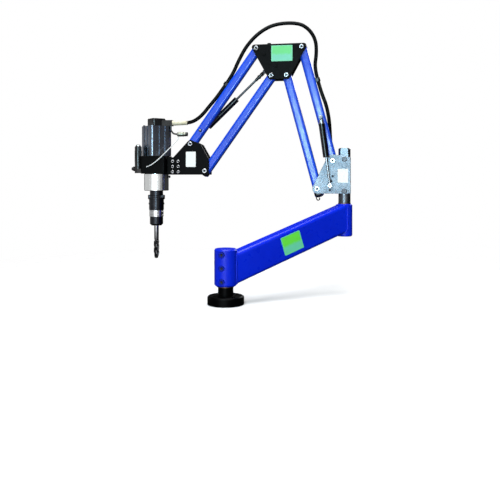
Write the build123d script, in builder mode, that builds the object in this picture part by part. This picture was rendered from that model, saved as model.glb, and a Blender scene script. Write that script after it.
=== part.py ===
from build123d import *
import os
from math import atan2, cos, degrees, hypot, pi, radians, sin, tan

os.makedirs("parts", exist_ok=True)

# Fits
seat_clearance = 0.03
running_clearance = 0.06
slide_gap = 0.3

# Base flange and post
flange_diameter = 110
flange_thickness = 26
flange_edge_round = 6
flange_foot_chamfer = 2
mount_hole_turn = 45
flange_floor = 4
mount_hole_diameter = 11
mount_hole_circle = 82
mount_hole_count = 4
post_diameter = 46
post_exposed = 26
post_spigot_diameter = 30
post_journal_diameter = 36

# Boom
boom_span = 447
boom_heading = 40
boom_rise = 129
boom_tube_height = 90
boom_tube_width = 50
boom_tube_wall = 5
boom_tube_round = 11
base_boss_diameter = 68
base_boss_height = 109
base_boss_recess = 5.5
base_boss_chamfer = 4
column_boss_diameter = 52
column_boss_height = 106
column_boss_recess = 7.5
column_boss_chamfer = 4
bush_wall = 4
bush_flange_thickness = 3
bush_flange_lip = 4
column_bush_lip = 3
bush_length = 30
lock_screw_turn = 140
lock_screw_diameter = 10
lock_screw_head_diameter = 16
lock_screw_head_height = 5
lock_screw_pocket_diameter = 20
lock_screw_pocket_depth = 5.5
lock_screw_spacing = 40
lock_screw_count = 3

# Retaining screws of the two swivels
retainer_shank_diameter = 12
retainer_shank_length = 30
retainer_washer_thickness = 4
retainer_washer_lip = 6
retainer_socket_width = 10

# Column and bracket
column_diameter = 40
column_journal_diameter = 28
column_exposed = 31
column_height_over_bracket = 151
column_edge_chamfer = 3
bracket_back_reach = 20.5
bracket_plate_height = 120.5
bracket_upper_lobe = 21
bracket_lower_lobe = 16
bracket_bolt_diameter = 10
bracket_bolt_low = 9
bracket_bolt_high = 114
bracket_strut_hole_diameter = 8
bracket_bolt_head_diameter = 16
bracket_bolt_head_height = 7
bracket_bolt_nut_width = 16
bracket_bolt_nut_height = 8
strut_hole_pitch = 15
strut_hole_shift = 4.3

# Linkage
shoulder_reach = 38
pair_reach = 51
pair_drop = 93
arm_length = 394
rear_lean = 15.1
front_lean = 35.6
elbow_span = 153
arm_size = 30
arm_wall = 3
arm_edge_round = 8.5
rear_inner_foot = 25
front_inner_foot = 15
side_gap = 1
plate_thickness = 8
pivot_pin_diameter = 10
pivot_head_diameter = 15
pivot_head_height = 6.5
pivot_nut_width = 16
pivot_nut_height = 8
pivot_bush_wall = 2
pivot_bush_flange_diameter = 20
pivot_bush_flange_gap = 0.1
pivot_sleeve_wall = 3
socket_share = 0.55
screw_tip = 2
screw_head_chamfer = 1
plate_edge_chamfer = 0.8
pivot_bush_middle_gap = 0.4
elbow_plate_margin = 13
elbow_plate_round = 9
spacer_diameter = 16
spacer_stud_diameter = 8
spacer_head_diameter = 13
spacer_head_height = 5
spacer_shift = 11
spacer_low = 34
spacer_inset = 26
spacer_drop = 18

# Gas struts
strut_depth = 37
strut_cylinder_diameter = 20
strut_cylinder_wall = 2
strut_rod_diameter = 7.5
strut_piston_thickness = 8
strut_eye_diameter = 13
strut_eye_thickness = 12
strut_stud_diameter = 6
strut_gland_thickness = 10
strut_fork_length = 22
strut_end_chamfer = 1.5
strut_stud_shoulder = 10
strut_stud_tip = 3
strut_stud_nut = 5
rear_strut_arm_distance = 149
rear_strut_eye_reach = 46
rear_strut_eye_height = 27
rear_strut_cylinder_length = 112
rear_strut_piston_depth = 38
front_strut_arm_distance = 57
front_strut_eye_reach = 19
front_strut_eye_drop = 70
front_strut_cylinder_length = 140
front_strut_piston_depth = 68

# Head
head_plate_margin = 13
head_plate_nose = 3
head_plate_step = 60
head_plate_side = 54
head_plate_throat = 21
head_plate_lobe = 13
head_plate_round = 2.5
head_shoulder_reach = 30
head_shoulder_drop = 9
head_shoulder_radius = 8
spindle_reach_from_head = 129.5
housing_width = 88
housing_height = 61.5
housing_lift = 3.5
housing_edge_round = 7
tongue_height = 52
tongue_length = 54
tongue_lift = 4.5
head_screw_diameter = 6
head_screw_head_diameter = 10
head_screw_head_height = 5
head_screw_nut_width = 10
head_screw_columns = 2
head_screw_rows = 3
head_screw_column_pitch = 20
head_screw_row_pitch = 18
head_screw_edge = 20
head_screw_low = 10
collar_diameter = 85
collar_height = 59
collar_lip_height = 4
collar_edge_chamfer = 1.5
bearing_outer_diameter = 62
bearing_width = 16
bearing_spacing = 30
spindle_diameter = 30
spindle_room = 3
motor_width = 80
motor_height = 104.5
motor_turn = 45
motor_corner_round = 9
motor_groove_width = 5
motor_groove_depth = 2.5
motor_groove_pitch = 22
motor_end_wall = 12
motor_bore_diameter = 62
rotor_diameter = 54
rotor_shaft_diameter = 14
rotor_end_gap = 5
encoder_width = 50
encoder_height = 27
encoder_corner_round = 8
encoder_top_round = 3
encoder_wall = 3
socket_width = 24
socket_height = 20
socket_reach = 59
plug_diameter = 17.5
plug_length = 34.1
plug_chamfer = 2
plug_lift = 10.5
signal_diameter = 14
signal_length = 36
signal_drop = 40
signal_gap = 20
lead_diameter = 6
lead_inset = 4
lead_forward = 9
lead_fall = 15
lead_rise = 3
lead_bend_radius = 7

# Reducer
gear_module = 1.25
sun_teeth = 18
planet_teeth = 18
ring_teeth = 54
gear_width = 15
gear_backlash = 0.45
tooth_root_overlap = 0.5
gear_addendum_share = 0.8
gear_dedendum_share = 1.25
pressure_angle = 20
planet_pin_diameter = 8
carrier_diameter = 64
carrier_thickness = 9
reducer_wall = 5
planet_side_gap = 0.4

# Chuck and tap
chuck_neck_diameter = 46
chuck_neck_height = 14.5
chuck_body_diameter = 51.6
chuck_body_height = 53
chuck_ridge_diameter = 55
chuck_ridge_height = 5.5
chuck_ridge_drop = 28
chuck_socket_diameter = 24
chuck_socket_depth = 34
release_ring_diameter = 59
release_ring_height = 15
adapter_shank_diameter = 32
adapter_shank_length = 15
adapter_band_diameter = 48
adapter_band_height = 23
nut_diameter = 46
nut_height = 31
nut_chamfer = 6
tap_shank_diameter = 16
tap_shank_exposed = 55
tap_shank_held = 40
tap_thread_diameter = 20
tap_thread_length = 59
tap_lead_length = 16
tap_lead_diameter = 13
tap_flute_count = 4
tap_flute_diameter = 9
tap_flute_offset = 10.5

# Operator grip
grip_diameter = 24
grip_height = 94
grip_standoff = 16
grip_front_inset = 24
grip_lift = 2
grip_end_round = 4
grip_foot_height = 15
grip_foot_depth = 24
start_button_diameter = 14
start_button_height = 14
start_button_proud = 5
button_pocket_spare = 6
reverse_button_diameter = 11
reverse_button_length = 14
reverse_button_proud = 6
reverse_button_height = 15
reverse_boss_diameter = 16
reverse_boss_length = 5
button_edge_round = 1.5

# Cables
cable_diameter = 12.5
clip_width = 12
clip_wall = 2
clip_bore_gap = 0.5
clip_cable_offset = 22
clip_ear_width = 24
clip_ear_thickness = 2.5
front_clip_distance = 237
rear_clip_distance = 276
gland_diameter = 20
gland_length = 26
gland_reach = 42
gland_depth = 44
gland_drop = 26.5
gland_lug_width = 14
gland_lug_height = 18
gland_chamfer = 2.5
wire_diameter = 3.2
run_share = 0.45
cable_straight = 25

# Places that follow from the sizes above
heading = radians(boom_heading)
column_x = boom_span * cos(heading)
column_y = boom_span * sin(heading)
post_shoulder = flange_thickness + post_exposed
base_boss_bottom = post_shoulder + bush_flange_thickness
base_boss_top = base_boss_bottom + base_boss_height
base_boss_middle = base_boss_bottom + base_boss_height / 2
column_boss_bottom = base_boss_bottom + boom_rise
column_boss_top = column_boss_bottom + column_boss_height
column_boss_middle = column_boss_bottom + column_boss_height / 2
column_shoulder = column_boss_top + bush_flange_thickness
bracket_bottom = column_shoulder + column_exposed
column_top = bracket_bottom + column_height_over_bracket
base_recess_floor = base_boss_top - base_boss_recess
base_seat = base_recess_floor - bush_flange_thickness
column_seat = column_boss_bottom + column_boss_recess
post_bush_radius = post_journal_diameter / 2 + bush_wall
column_bush_radius = column_journal_diameter / 2 + bush_wall
plate_inner = arm_size / 2 + side_gap
plate_outer = plate_inner + plate_thickness
plate_gap = 2 * plate_inner
pivot_bush_radius = pivot_pin_diameter / 2 + pivot_bush_wall

# Pivots as (reach from the column axis, height)
lower_shoulder = (shoulder_reach + pair_reach, bracket_bottom + bracket_lower_lobe)
upper_shoulder = (shoulder_reach, lower_shoulder[1] + pair_drop)
rear_rise = (arm_length * sin(radians(rear_lean)), arm_length * cos(radians(rear_lean)))
front_fall = (arm_length * sin(radians(front_lean)), -arm_length * cos(radians(front_lean)))
elbow_rear_upper = (upper_shoulder[0] + rear_rise[0], upper_shoulder[1] + rear_rise[1])
elbow_rear_lower = (lower_shoulder[0] + rear_rise[0], lower_shoulder[1] + rear_rise[1])
elbow_front_upper = (elbow_rear_upper[0] + elbow_span, elbow_rear_upper[1])
elbow_front_lower = (elbow_front_upper[0] - pair_reach, elbow_front_upper[1] - pair_drop)
head_upper = (elbow_front_upper[0] + front_fall[0], elbow_front_upper[1] + front_fall[1])
head_lower = (elbow_front_lower[0] + front_fall[0], elbow_front_lower[1] + front_fall[1])
shoulder_pivots = (upper_shoulder, lower_shoulder)
elbow_pivots = (elbow_rear_upper, elbow_rear_lower, elbow_front_upper, elbow_front_lower)
head_pivots = (head_upper, head_lower)

# Head levels, all carried by the lower head pivot
spindle_reach = head_upper[0] + spindle_reach_from_head
spindle_x = column_x - spindle_reach
head_floor = head_lower[1] - head_plate_margin
housing_bottom = head_floor + housing_lift
housing_top = housing_bottom + housing_height
housing_back = spindle_reach - housing_width / 2
motor_top = housing_top + motor_height
collar_bottom = housing_bottom - collar_height
chuck_top = collar_bottom - slide_gap
chuck_shoulder = chuck_top - chuck_neck_height
chuck_bottom = chuck_shoulder - chuck_body_height
band_bottom = chuck_bottom - adapter_band_height
nut_bottom = band_bottom - nut_height

STAND = (Align.CENTER, Align.CENTER, Align.MIN)
HANG = (Align.CENTER, Align.CENTER, Align.MAX)


def linkage_plane(depth=0.0):
    """Upright plane of the links: x is the reach from the column, y the height, z points away."""
    return Plane(origin=(column_x, column_y + depth, 0), x_dir=(-1, 0, 0), z_dir=(0, 1, 0))


def link_point(reach, height, depth=0.0):
    """Place in space of a point given by reach, height and depth."""
    return Vector(column_x - reach, column_y + depth, height)


def upright(x, y, z):
    """Level plane at a place, used to stand turned pieces on."""
    return Plane(origin=(x, y, z), x_dir=(1, 0, 0), z_dir=(0, 0, 1))


def along(start, end, distance):
    """Point of the linkage at a distance from start towards end."""
    share = distance / hypot(end[0] - start[0], end[1] - start[1])
    return (start[0] + share * (end[0] - start[0]), start[1] + share * (end[1] - start[1]))


# Base

with BuildPart() as base_flange:
    Cylinder(flange_diameter / 2, flange_thickness, align=STAND)
    fillet(base_flange.edges().group_by(Axis.Z)[-1], flange_edge_round)
    chamfer(base_flange.edges().group_by(Axis.Z)[0], flange_foot_chamfer)
    with Locations((0, 0, flange_thickness)):
        Hole(post_spigot_diameter / 2 + seat_clearance, depth=flange_thickness - flange_floor)
    with Locations((0, 0, flange_thickness)):
        with PolarLocations(mount_hole_circle / 2, mount_hole_count, start_angle=mount_hole_turn):
            Hole(mount_hole_diameter / 2)
base_flange.part.label = "base_flange"
export_step(base_flange.part, "parts/base_flange.step")

post_top = base_recess_floor + slide_gap
with BuildPart() as base_post:
    with Locations((0, 0, flange_floor)):
        Cylinder(post_spigot_diameter / 2, flange_thickness - flange_floor, align=STAND)
    with Locations((0, 0, flange_thickness)):
        Cylinder(post_diameter / 2, post_exposed, align=STAND)
    with Locations((0, 0, post_shoulder)):
        Cylinder(post_journal_diameter / 2, post_top - post_shoulder, align=STAND)
    with Locations((0, 0, post_top)):
        Hole(retainer_shank_diameter / 2 + seat_clearance, depth=retainer_shank_length)
base_post.part.label = "base_post"
export_step(base_post.part, "parts/base_post.step")

with BuildPart(upright(0, 0, post_top)) as base_retaining_screw:
    Cylinder(post_journal_diameter / 2 + retainer_washer_lip, retainer_washer_thickness, align=STAND)
    Cylinder(retainer_shank_diameter / 2, retainer_shank_length, align=HANG)
    with BuildSketch(upright(0, 0, post_top + retainer_washer_thickness)):
        RegularPolygon(retainer_socket_width / 2, 6, major_radius=False)
    extrude(amount=-retainer_washer_thickness, mode=Mode.SUBTRACT)
base_retaining_screw.part.label = "base_retaining_screw"
export_step(base_retaining_screw.part, "parts/base_retaining_screw.step")

# Boom

lock_angle = radians(boom_heading - lock_screw_turn)
lock_direction = Vector(cos(lock_angle), sin(lock_angle), 0)
lock_heights = [
    base_boss_middle + lock_screw_spacing * (index - (lock_screw_count - 1) / 2)
    for index in range(lock_screw_count)
]


def lock_planes(radius):
    """Planes facing outwards at each lock screw, at a radius from the post axis."""
    return [
        Plane(origin=lock_direction * radius + Vector(0, 0, height), x_dir=(0, 0, 1), z_dir=lock_direction)
        for height in lock_heights
    ]


lock_floor = base_boss_diameter / 2 - lock_screw_pocket_depth
with BuildPart(upright(0, 0, base_boss_bottom)) as boom_base_boss:
    Cylinder(base_boss_diameter / 2, base_boss_height, align=STAND)
    chamfer(boom_base_boss.edges().group_by(Axis.Z)[0], base_boss_chamfer)
    chamfer(boom_base_boss.edges().group_by(Axis.Z)[-1], base_boss_chamfer / 2)
    with Locations((0, 0, base_boss_height)):
        CounterBoreHole(
            post_bush_radius + seat_clearance,
            post_bush_radius + bush_flange_lip + seat_clearance,
            base_boss_top - base_seat,
        )
    with BuildSketch(*lock_planes(lock_floor)):
        Circle(lock_screw_pocket_diameter / 2)
    extrude(amount=lock_screw_pocket_depth, mode=Mode.SUBTRACT)
    with BuildSketch(*lock_planes(lock_floor)):
        Circle(lock_screw_diameter / 2 + seat_clearance)
    extrude(amount=post_bush_radius - lock_floor, mode=Mode.SUBTRACT)
boom_base_boss.part.label = "boom_base_boss"
export_step(boom_base_boss.part, "parts/boom_base_boss.step")

with BuildPart() as boom_lock_screws:
    with BuildSketch(*lock_planes(lock_floor)):
        Circle(lock_screw_head_diameter / 2)
    extrude(amount=lock_screw_head_height)
    with BuildSketch(*lock_planes(lock_floor)):
        Circle(lock_screw_diameter / 2)
    extrude(amount=post_bush_radius + slide_gap - lock_floor)
    with BuildSketch(*lock_planes(lock_floor + lock_screw_head_height)):
        RegularPolygon(lock_screw_diameter / 2, 6)
    extrude(amount=-lock_screw_head_height / 2, mode=Mode.SUBTRACT)
boom_lock_screws.part.label = "boom_lock_screws"
export_step(boom_lock_screws.part, "parts/boom_lock_screws.step")

with BuildPart(upright(column_x, column_y, column_boss_bottom)) as boom_column_boss:
    Cylinder(column_boss_diameter / 2, column_boss_height, align=STAND)
    chamfer(boom_column_boss.edges().group_by(Axis.Z)[0], column_boss_chamfer / 2)
    chamfer(boom_column_boss.edges().group_by(Axis.Z)[-1], column_boss_chamfer)
    with Locations((0, 0, column_boss_height)):
        Hole(column_bush_radius + seat_clearance)
    Cylinder(
        column_bush_radius + column_bush_lip + slide_gap,
        column_boss_recess,
        align=STAND,
        mode=Mode.SUBTRACT,
    )
boom_column_boss.part.label = "boom_column_boss"
export_step(boom_column_boss.part, "parts/boom_column_boss.step")

# The tube's middle line meets each boss at the middle of its height
boom_clear_span = boom_span - (base_boss_diameter + column_boss_diameter) / 2
boom_slope = atan2(column_boss_middle - base_boss_middle, boom_clear_span)
boom_start_height = base_boss_middle - base_boss_diameter / 2 * tan(boom_slope)
boom_direction = Vector(cos(heading) * cos(boom_slope), sin(heading) * cos(boom_slope), sin(boom_slope))
boom_level = Vector(cos(heading), sin(heading), 0)
boom_side = (sin(heading), -cos(heading), 0)
boom_section = Plane(origin=(0, 0, boom_start_height), x_dir=boom_side, z_dir=boom_direction)
cut_height = 2 * column_top
with BuildPart() as boom_tube:
    with BuildSketch(boom_section):
        RectangleRounded(boom_tube_width, boom_tube_height, boom_tube_round)
        RectangleRounded(
            boom_tube_width - 2 * boom_tube_wall,
            boom_tube_height - 2 * boom_tube_wall,
            boom_tube_round - boom_tube_wall,
            mode=Mode.SUBTRACT,
        )
    extrude(amount=boom_span / cos(boom_slope))
    split(bisect_by=Plane(origin=(0, 0, 0), z_dir=boom_level), keep=Keep.TOP)
    split(bisect_by=Plane(origin=(column_x, column_y, 0), z_dir=boom_level), keep=Keep.BOTTOM)
    with Locations((0, 0, 0)):
        Cylinder(base_boss_diameter / 2, cut_height, mode=Mode.SUBTRACT)
    with Locations((column_x, column_y, 0)):
        Cylinder(column_boss_diameter / 2, cut_height, mode=Mode.SUBTRACT)
boom_tube.part.label = "boom_tube"
export_step(boom_tube.part, "parts/boom_tube.step")

with BuildPart() as swivel_bushes:
    for seat, flange_side, sleeve_side in ((base_boss_bottom, HANG, STAND), (base_seat, STAND, HANG)):
        with Locations((0, 0, seat)):
            Cylinder(post_bush_radius + bush_flange_lip, bush_flange_thickness, align=flange_side)
            Cylinder(post_bush_radius, bush_length, align=sleeve_side)
    Cylinder(post_journal_diameter / 2 + running_clearance, cut_height, mode=Mode.SUBTRACT)
    for seat, flange_side, sleeve_side in (
        (column_seat, HANG, STAND),
        (column_boss_top, STAND, HANG),
    ):
        with Locations((column_x, column_y, seat)):
            Cylinder(column_bush_radius + column_bush_lip, bush_flange_thickness, align=flange_side)
            Cylinder(column_bush_radius, bush_length, align=sleeve_side)
    with Locations((column_x, column_y, 0)):
        Cylinder(column_journal_diameter / 2 + running_clearance, cut_height, mode=Mode.SUBTRACT)
swivel_bushes.part.label = "swivel_bushes"
export_step(swivel_bushes.part, "parts/swivel_bushes.step")

# Column and bracket

column_foot = column_seat - bush_flange_thickness - slide_gap
bracket_bolt_heights = (bracket_bottom + bracket_bolt_low, bracket_bottom + bracket_bolt_high)
with BuildPart(upright(column_x, column_y, column_foot)) as column_post:
    Cylinder(column_journal_diameter / 2, column_shoulder - column_foot, align=STAND)
    with Locations((0, 0, column_shoulder - column_foot)):
        Cylinder(column_diameter / 2, column_top - column_shoulder, align=STAND)
    chamfer(column_post.edges().group_by(Axis.Z)[-1], column_edge_chamfer)
    with Locations((0, 0, bracket_bottom - column_foot)):
        with Locations((0, plate_inner, 0), (0, -plate_inner - column_diameter, 0)):
            Box(
                column_diameter,
                column_diameter,
                column_height_over_bracket,
                align=(Align.CENTER, Align.MIN, Align.MIN),
                mode=Mode.SUBTRACT,
            )
    Cylinder(
        retainer_shank_diameter / 2 + seat_clearance,
        retainer_shank_length,
        align=STAND,
        mode=Mode.SUBTRACT,
    )
    with BuildSketch(linkage_plane(-plate_outer)):
        with Locations(*[(0, height) for height in bracket_bolt_heights]):
            Circle(bracket_bolt_diameter / 2 + seat_clearance)
    extrude(amount=2 * plate_outer, mode=Mode.SUBTRACT)
column_post.part.label = "column_post"
export_step(column_post.part, "parts/column_post.step")

with BuildPart(upright(column_x, column_y, column_foot)) as column_retaining_screw:
    Cylinder(column_journal_diameter / 2 + retainer_washer_lip, retainer_washer_thickness, align=HANG)
    Cylinder(retainer_shank_diameter / 2, retainer_shank_length, align=STAND)
    with BuildSketch(upright(column_x, column_y, column_foot - retainer_washer_thickness)):
        RegularPolygon(retainer_socket_width / 2, 6, major_radius=False)
    extrude(amount=retainer_washer_thickness, mode=Mode.SUBTRACT)
column_retaining_screw.part.label = "column_retaining_screw"
export_step(column_retaining_screw.part, "parts/column_retaining_screw.step")

strut_eye_place = (rear_strut_eye_reach, bracket_bottom + rear_strut_eye_height)
spare_strut_holes = [
    (strut_eye_place[0], strut_eye_place[1] - strut_hole_pitch),
    (strut_eye_place[0] - strut_hole_shift, strut_eye_place[1] + strut_hole_pitch),
    (strut_eye_place[0] - 2 * strut_hole_shift, strut_eye_place[1] + 2 * strut_hole_pitch),
]


def bracket_plate(depth, strut_holes):
    """One bracket plate, extruded from depth, bored for pins, bolts and any spare strut holes."""
    with BuildPart() as plate:
        with BuildSketch(linkage_plane(depth)):
            with Locations((-bracket_back_reach, bracket_bottom)):
                Rectangle(
                    bracket_back_reach,
                    bracket_plate_height,
                    align=(Align.MIN, Align.MIN),
                )
            with Locations(upper_shoulder):
                Circle(bracket_upper_lobe)
            with Locations(lower_shoulder):
                Circle(bracket_lower_lobe)
            make_hull()
            with Locations(*shoulder_pivots):
                Circle(pivot_pin_diameter / 2 + seat_clearance, mode=Mode.SUBTRACT)
            with Locations(*[(0, height) for height in bracket_bolt_heights]):
                Circle(bracket_bolt_diameter / 2 + seat_clearance, mode=Mode.SUBTRACT)
            for place in strut_holes:
                with Locations(place):
                    Circle(bracket_strut_hole_diameter / 2, mode=Mode.SUBTRACT)
        extrude(amount=plate_thickness)
        chamfer(plate.faces().filter_by(Axis.Y).edges().filter_by(GeomType.LINE), plate_edge_chamfer)
    return plate


bracket_front_plate = bracket_plate(-plate_outer, spare_strut_holes)
bracket_front_plate.part.label = "bracket_front_plate"
export_step(bracket_front_plate.part, "parts/bracket_front_plate.step")

bracket_rear_plate = bracket_plate(plate_inner, [])
bracket_rear_plate.part.label = "bracket_rear_plate"
export_step(bracket_rear_plate.part, "parts/bracket_rear_plate.step")


def cap_screws(places, shank, head, head_height, nut_width, nut_height):
    """Cap screws through both plates at places, each with its nut on the far side."""
    with BuildPart() as screws:
        with BuildSketch(linkage_plane(-plate_outer)):
            with Locations(*places):
                Circle(head / 2)
        extrude(amount=-head_height)
        chamfer(screws.edges().group_by(Axis.Y)[0], screw_head_chamfer)
        with BuildSketch(linkage_plane(-plate_outer)):
            with Locations(*places):
                Circle(shank / 2)
        extrude(amount=2 * plate_outer + nut_height + screw_tip)
        with BuildSketch(linkage_plane(-plate_outer - head_height)):
            with Locations(*places):
                RegularPolygon(shank / 2, 6, major_radius=False)
        extrude(amount=socket_share * head_height, mode=Mode.SUBTRACT)
    with BuildPart() as nuts:
        with BuildSketch(linkage_plane(plate_outer)):
            with Locations(*places):
                RegularPolygon(nut_width / 2, 6, major_radius=False)
                Circle(shank / 2 + seat_clearance, mode=Mode.SUBTRACT)
        extrude(amount=nut_height)
    return Compound(children=[*screws.part.solids(), *nuts.part.solids()])


bracket_bolts = cap_screws(
    [(0, height) for height in bracket_bolt_heights],
    bracket_bolt_diameter,
    bracket_bolt_head_diameter,
    bracket_bolt_head_height,
    bracket_bolt_nut_width,
    bracket_bolt_nut_height,
)
bracket_bolts.label = "bracket_bolts"
export_step(bracket_bolts, "parts/bracket_bolts.step")


def pivot_pins(places):
    """Pivot screws with their nuts at the given pivots."""
    return cap_screws(
        places,
        pivot_pin_diameter,
        pivot_head_diameter,
        pivot_head_height,
        pivot_nut_width,
        pivot_nut_height,
    )


def pivot_bushes(places):
    """Pairs of flanged sleeves on the pivot pins, clamped between the two plates."""
    with BuildPart() as bushes:
        for face, inward in ((-plate_inner, 1), (plate_inner, -1)):
            with BuildSketch(linkage_plane(face)):
                with Locations(*places):
                    Circle(pivot_bush_flange_diameter / 2)
            extrude(amount=inward * (side_gap - pivot_bush_flange_gap))
            with BuildSketch(linkage_plane(face)):
                with Locations(*places):
                    Circle(pivot_bush_radius)
            extrude(amount=inward * (plate_inner - pivot_bush_middle_gap / 2))
        with BuildSketch(linkage_plane(-plate_inner)):
            with Locations(*places):
                Circle(pivot_pin_diameter / 2 + seat_clearance)
        extrude(amount=plate_gap, mode=Mode.SUBTRACT)
    return bushes


shoulder_pins = pivot_pins(shoulder_pivots)
shoulder_pins.label = "shoulder_pins"
export_step(shoulder_pins, "parts/shoulder_pins.step")

shoulder_bushes = pivot_bushes(shoulder_pivots)
shoulder_bushes.part.label = "shoulder_bushes"
export_step(shoulder_bushes.part, "parts/shoulder_bushes.step")

# The gland stands behind the rear plate on a lug, and the cable's last run comes down into it
gland_top = bracket_bottom + bracket_plate_height - gland_drop
gland_place = link_point(gland_reach, gland_top, gland_depth)
with BuildPart() as cable_gland:
    with BuildSketch(upright(gland_place.X, gland_place.Y, gland_top)):
        Circle(gland_diameter / 2)
    extrude(amount=-gland_length)
    chamfer(cable_gland.edges().group_by(Axis.Z)[-1], gland_chamfer)
    with BuildSketch(linkage_plane(plate_outer)):
        with Locations((gland_reach, gland_top - gland_length)):
            Rectangle(gland_lug_width, gland_lug_height, align=(Align.CENTER, Align.MIN))
    extrude(amount=gland_depth - plate_outer)
cable_gland.part.label = "cable_gland"
export_step(cable_gland.part, "parts/cable_gland.step")

# Arms

def arm_plane(start, end, depth):
    """Upright plane at start whose x axis runs along the arm to end."""
    run = (link_point(*end) - link_point(*start)).normalized()
    return Plane(origin=link_point(start[0], start[1], depth), x_dir=run, z_dir=(0, 1, 0))


def arm_hollow(start, end):
    """Room inside an arm's tube, open at both ends, with its long edges rounded."""
    with BuildPart() as hollow:
        with BuildSketch(arm_plane(start, end, -arm_size / 2 + arm_wall)):
            with Locations((arm_length / 2, 0)):
                Rectangle(arm_length + 4 * arm_size, arm_size - 2 * arm_wall)
        extrude(amount=arm_size - 2 * arm_wall)
        fillet(hollow.edges().group_by(SortBy.LENGTH)[-1], arm_edge_round - arm_wall)
    return hollow.part


def arm_tube(start, end, stud_distance=None, foot=0.0):
    """Square tube with rounded ends, a welded sleeve at each pivot and a sleeve for a strut's stud."""
    sleeves = [(0, 0), (arm_length, 0)]
    with BuildPart() as arm:
        with BuildSketch(arm_plane(start, end, -arm_size / 2)):
            with Locations((arm_length / 2, 0)):
                SlotCenterToCenter(arm_length, arm_size)
            if foot > 0:
                Rectangle(foot, arm_size, align=(Align.MAX, Align.CENTER))
        extrude(amount=arm_size)
        fillet(arm.faces().filter_by(Axis.Y).edges(), arm_edge_round)
        add(arm_hollow(start, end), mode=Mode.SUBTRACT)
        with BuildSketch(arm_plane(start, end, -arm_size / 2)):
            with Locations(*sleeves):
                Circle(pivot_bush_radius + pivot_sleeve_wall)
            if stud_distance is not None:
                with Locations((stud_distance, 0)):
                    Circle(strut_stud_diameter / 2 + pivot_sleeve_wall)
        extrude(amount=arm_size)
        with BuildSketch(arm_plane(start, end, -arm_size / 2)):
            with Locations(*sleeves):
                Circle(pivot_bush_radius + running_clearance)
            if stud_distance is not None:
                with Locations((stud_distance, 0)):
                    Circle(strut_stud_diameter / 2 + running_clearance)
        extrude(amount=arm_size, mode=Mode.SUBTRACT)
    return arm


rear_outer_arm = arm_tube(upper_shoulder, elbow_rear_upper, rear_strut_arm_distance)
rear_outer_arm.part.label = "rear_outer_arm"
export_step(rear_outer_arm.part, "parts/rear_outer_arm.step")

rear_inner_arm = arm_tube(lower_shoulder, elbow_rear_lower, foot=rear_inner_foot)
rear_inner_arm.part.label = "rear_inner_arm"
export_step(rear_inner_arm.part, "parts/rear_inner_arm.step")

front_outer_arm = arm_tube(head_upper, elbow_front_upper, front_strut_arm_distance)
front_outer_arm.part.label = "front_outer_arm"
export_step(front_outer_arm.part, "parts/front_outer_arm.step")

front_inner_arm = arm_tube(head_lower, elbow_front_lower, foot=front_inner_foot)
front_inner_arm.part.label = "front_inner_arm"
export_step(front_inner_arm.part, "parts/front_inner_arm.step")


def cable_clip(start, end, distance, side):
    """Saddle clip on the arm's edge: an arch over the cable with two ears on the tube."""
    bore = cable_diameter / 2 + clip_bore_gap
    run = (link_point(*end) - link_point(*start)).normalized()
    outward = Vector(run.Z, 0, -run.X) * side
    middle = link_point(*along(start, end, distance)) - run * (clip_width / 2)
    section = Plane(origin=middle, x_dir=outward, z_dir=run)
    with BuildPart() as clip:
        with BuildSketch(section):
            with Locations((clip_cable_offset, 0)):
                Circle(bore + clip_wall)
            with Locations((arm_size / 2, 0)):
                Rectangle(
                    clip_cable_offset - arm_size / 2,
                    2 * (bore + clip_wall),
                    align=(Align.MIN, Align.CENTER),
                )
                Rectangle(clip_ear_thickness, clip_ear_width, align=(Align.MIN, Align.CENTER))
            Rectangle(arm_size, clip_ear_width, mode=Mode.SUBTRACT)
            with Locations((clip_cable_offset, 0)):
                Circle(bore, mode=Mode.SUBTRACT)
        extrude(amount=clip_width)
    return clip


rear_cable_clip = cable_clip(upper_shoulder, elbow_rear_upper, rear_clip_distance, 1)
rear_cable_clip.part.label = "rear_cable_clip"
export_step(rear_cable_clip.part, "parts/rear_cable_clip.step")

front_cable_clip = cable_clip(head_upper, elbow_front_upper, front_clip_distance, -1)
front_cable_clip.part.label = "front_cable_clip"
export_step(front_cable_clip.part, "parts/front_cable_clip.step")

# Elbow

spacer_middle = (elbow_rear_upper[0] + elbow_front_upper[0]) / 2
spacer_places = [
    (spacer_middle + spacer_shift, elbow_rear_lower[1] + spacer_low),
    (elbow_front_upper[0] - spacer_inset, elbow_front_upper[1] - spacer_drop),
]


def elbow_plate(depth):
    """One trapezoid elbow plate with its rounded corners, bored for pins and spacers."""
    with BuildPart() as plate:
        with BuildSketch(linkage_plane(depth)):
            with BuildLine():
                Polyline(
                    elbow_rear_upper,
                    elbow_rear_lower,
                    elbow_front_lower,
                    elbow_front_upper,
                    close=True,
                )
            make_face()
            offset(amount=elbow_plate_margin, kind=Kind.INTERSECTION)
        extrude(amount=plate_thickness)
        fillet(plate.edges().filter_by(Axis.Y), elbow_plate_round)
        chamfer(plate.faces().filter_by(Axis.Y).edges(), plate_edge_chamfer)
        with BuildSketch(linkage_plane(depth)):
            with Locations(*elbow_pivots):
                Circle(pivot_pin_diameter / 2 + seat_clearance)
            with Locations(*spacer_places):
                Circle(spacer_stud_diameter / 2 + seat_clearance)
        extrude(amount=plate_thickness, mode=Mode.SUBTRACT)
    return plate


elbow_front_plate = elbow_plate(-plate_outer)
elbow_front_plate.part.label = "elbow_front_plate"
export_step(elbow_front_plate.part, "parts/elbow_front_plate.step")

elbow_rear_plate = elbow_plate(plate_inner)
elbow_rear_plate.part.label = "elbow_rear_plate"
export_step(elbow_rear_plate.part, "parts/elbow_rear_plate.step")

elbow_pins = pivot_pins(elbow_pivots)
elbow_pins.label = "elbow_pins"
export_step(elbow_pins, "parts/elbow_pins.step")

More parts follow.
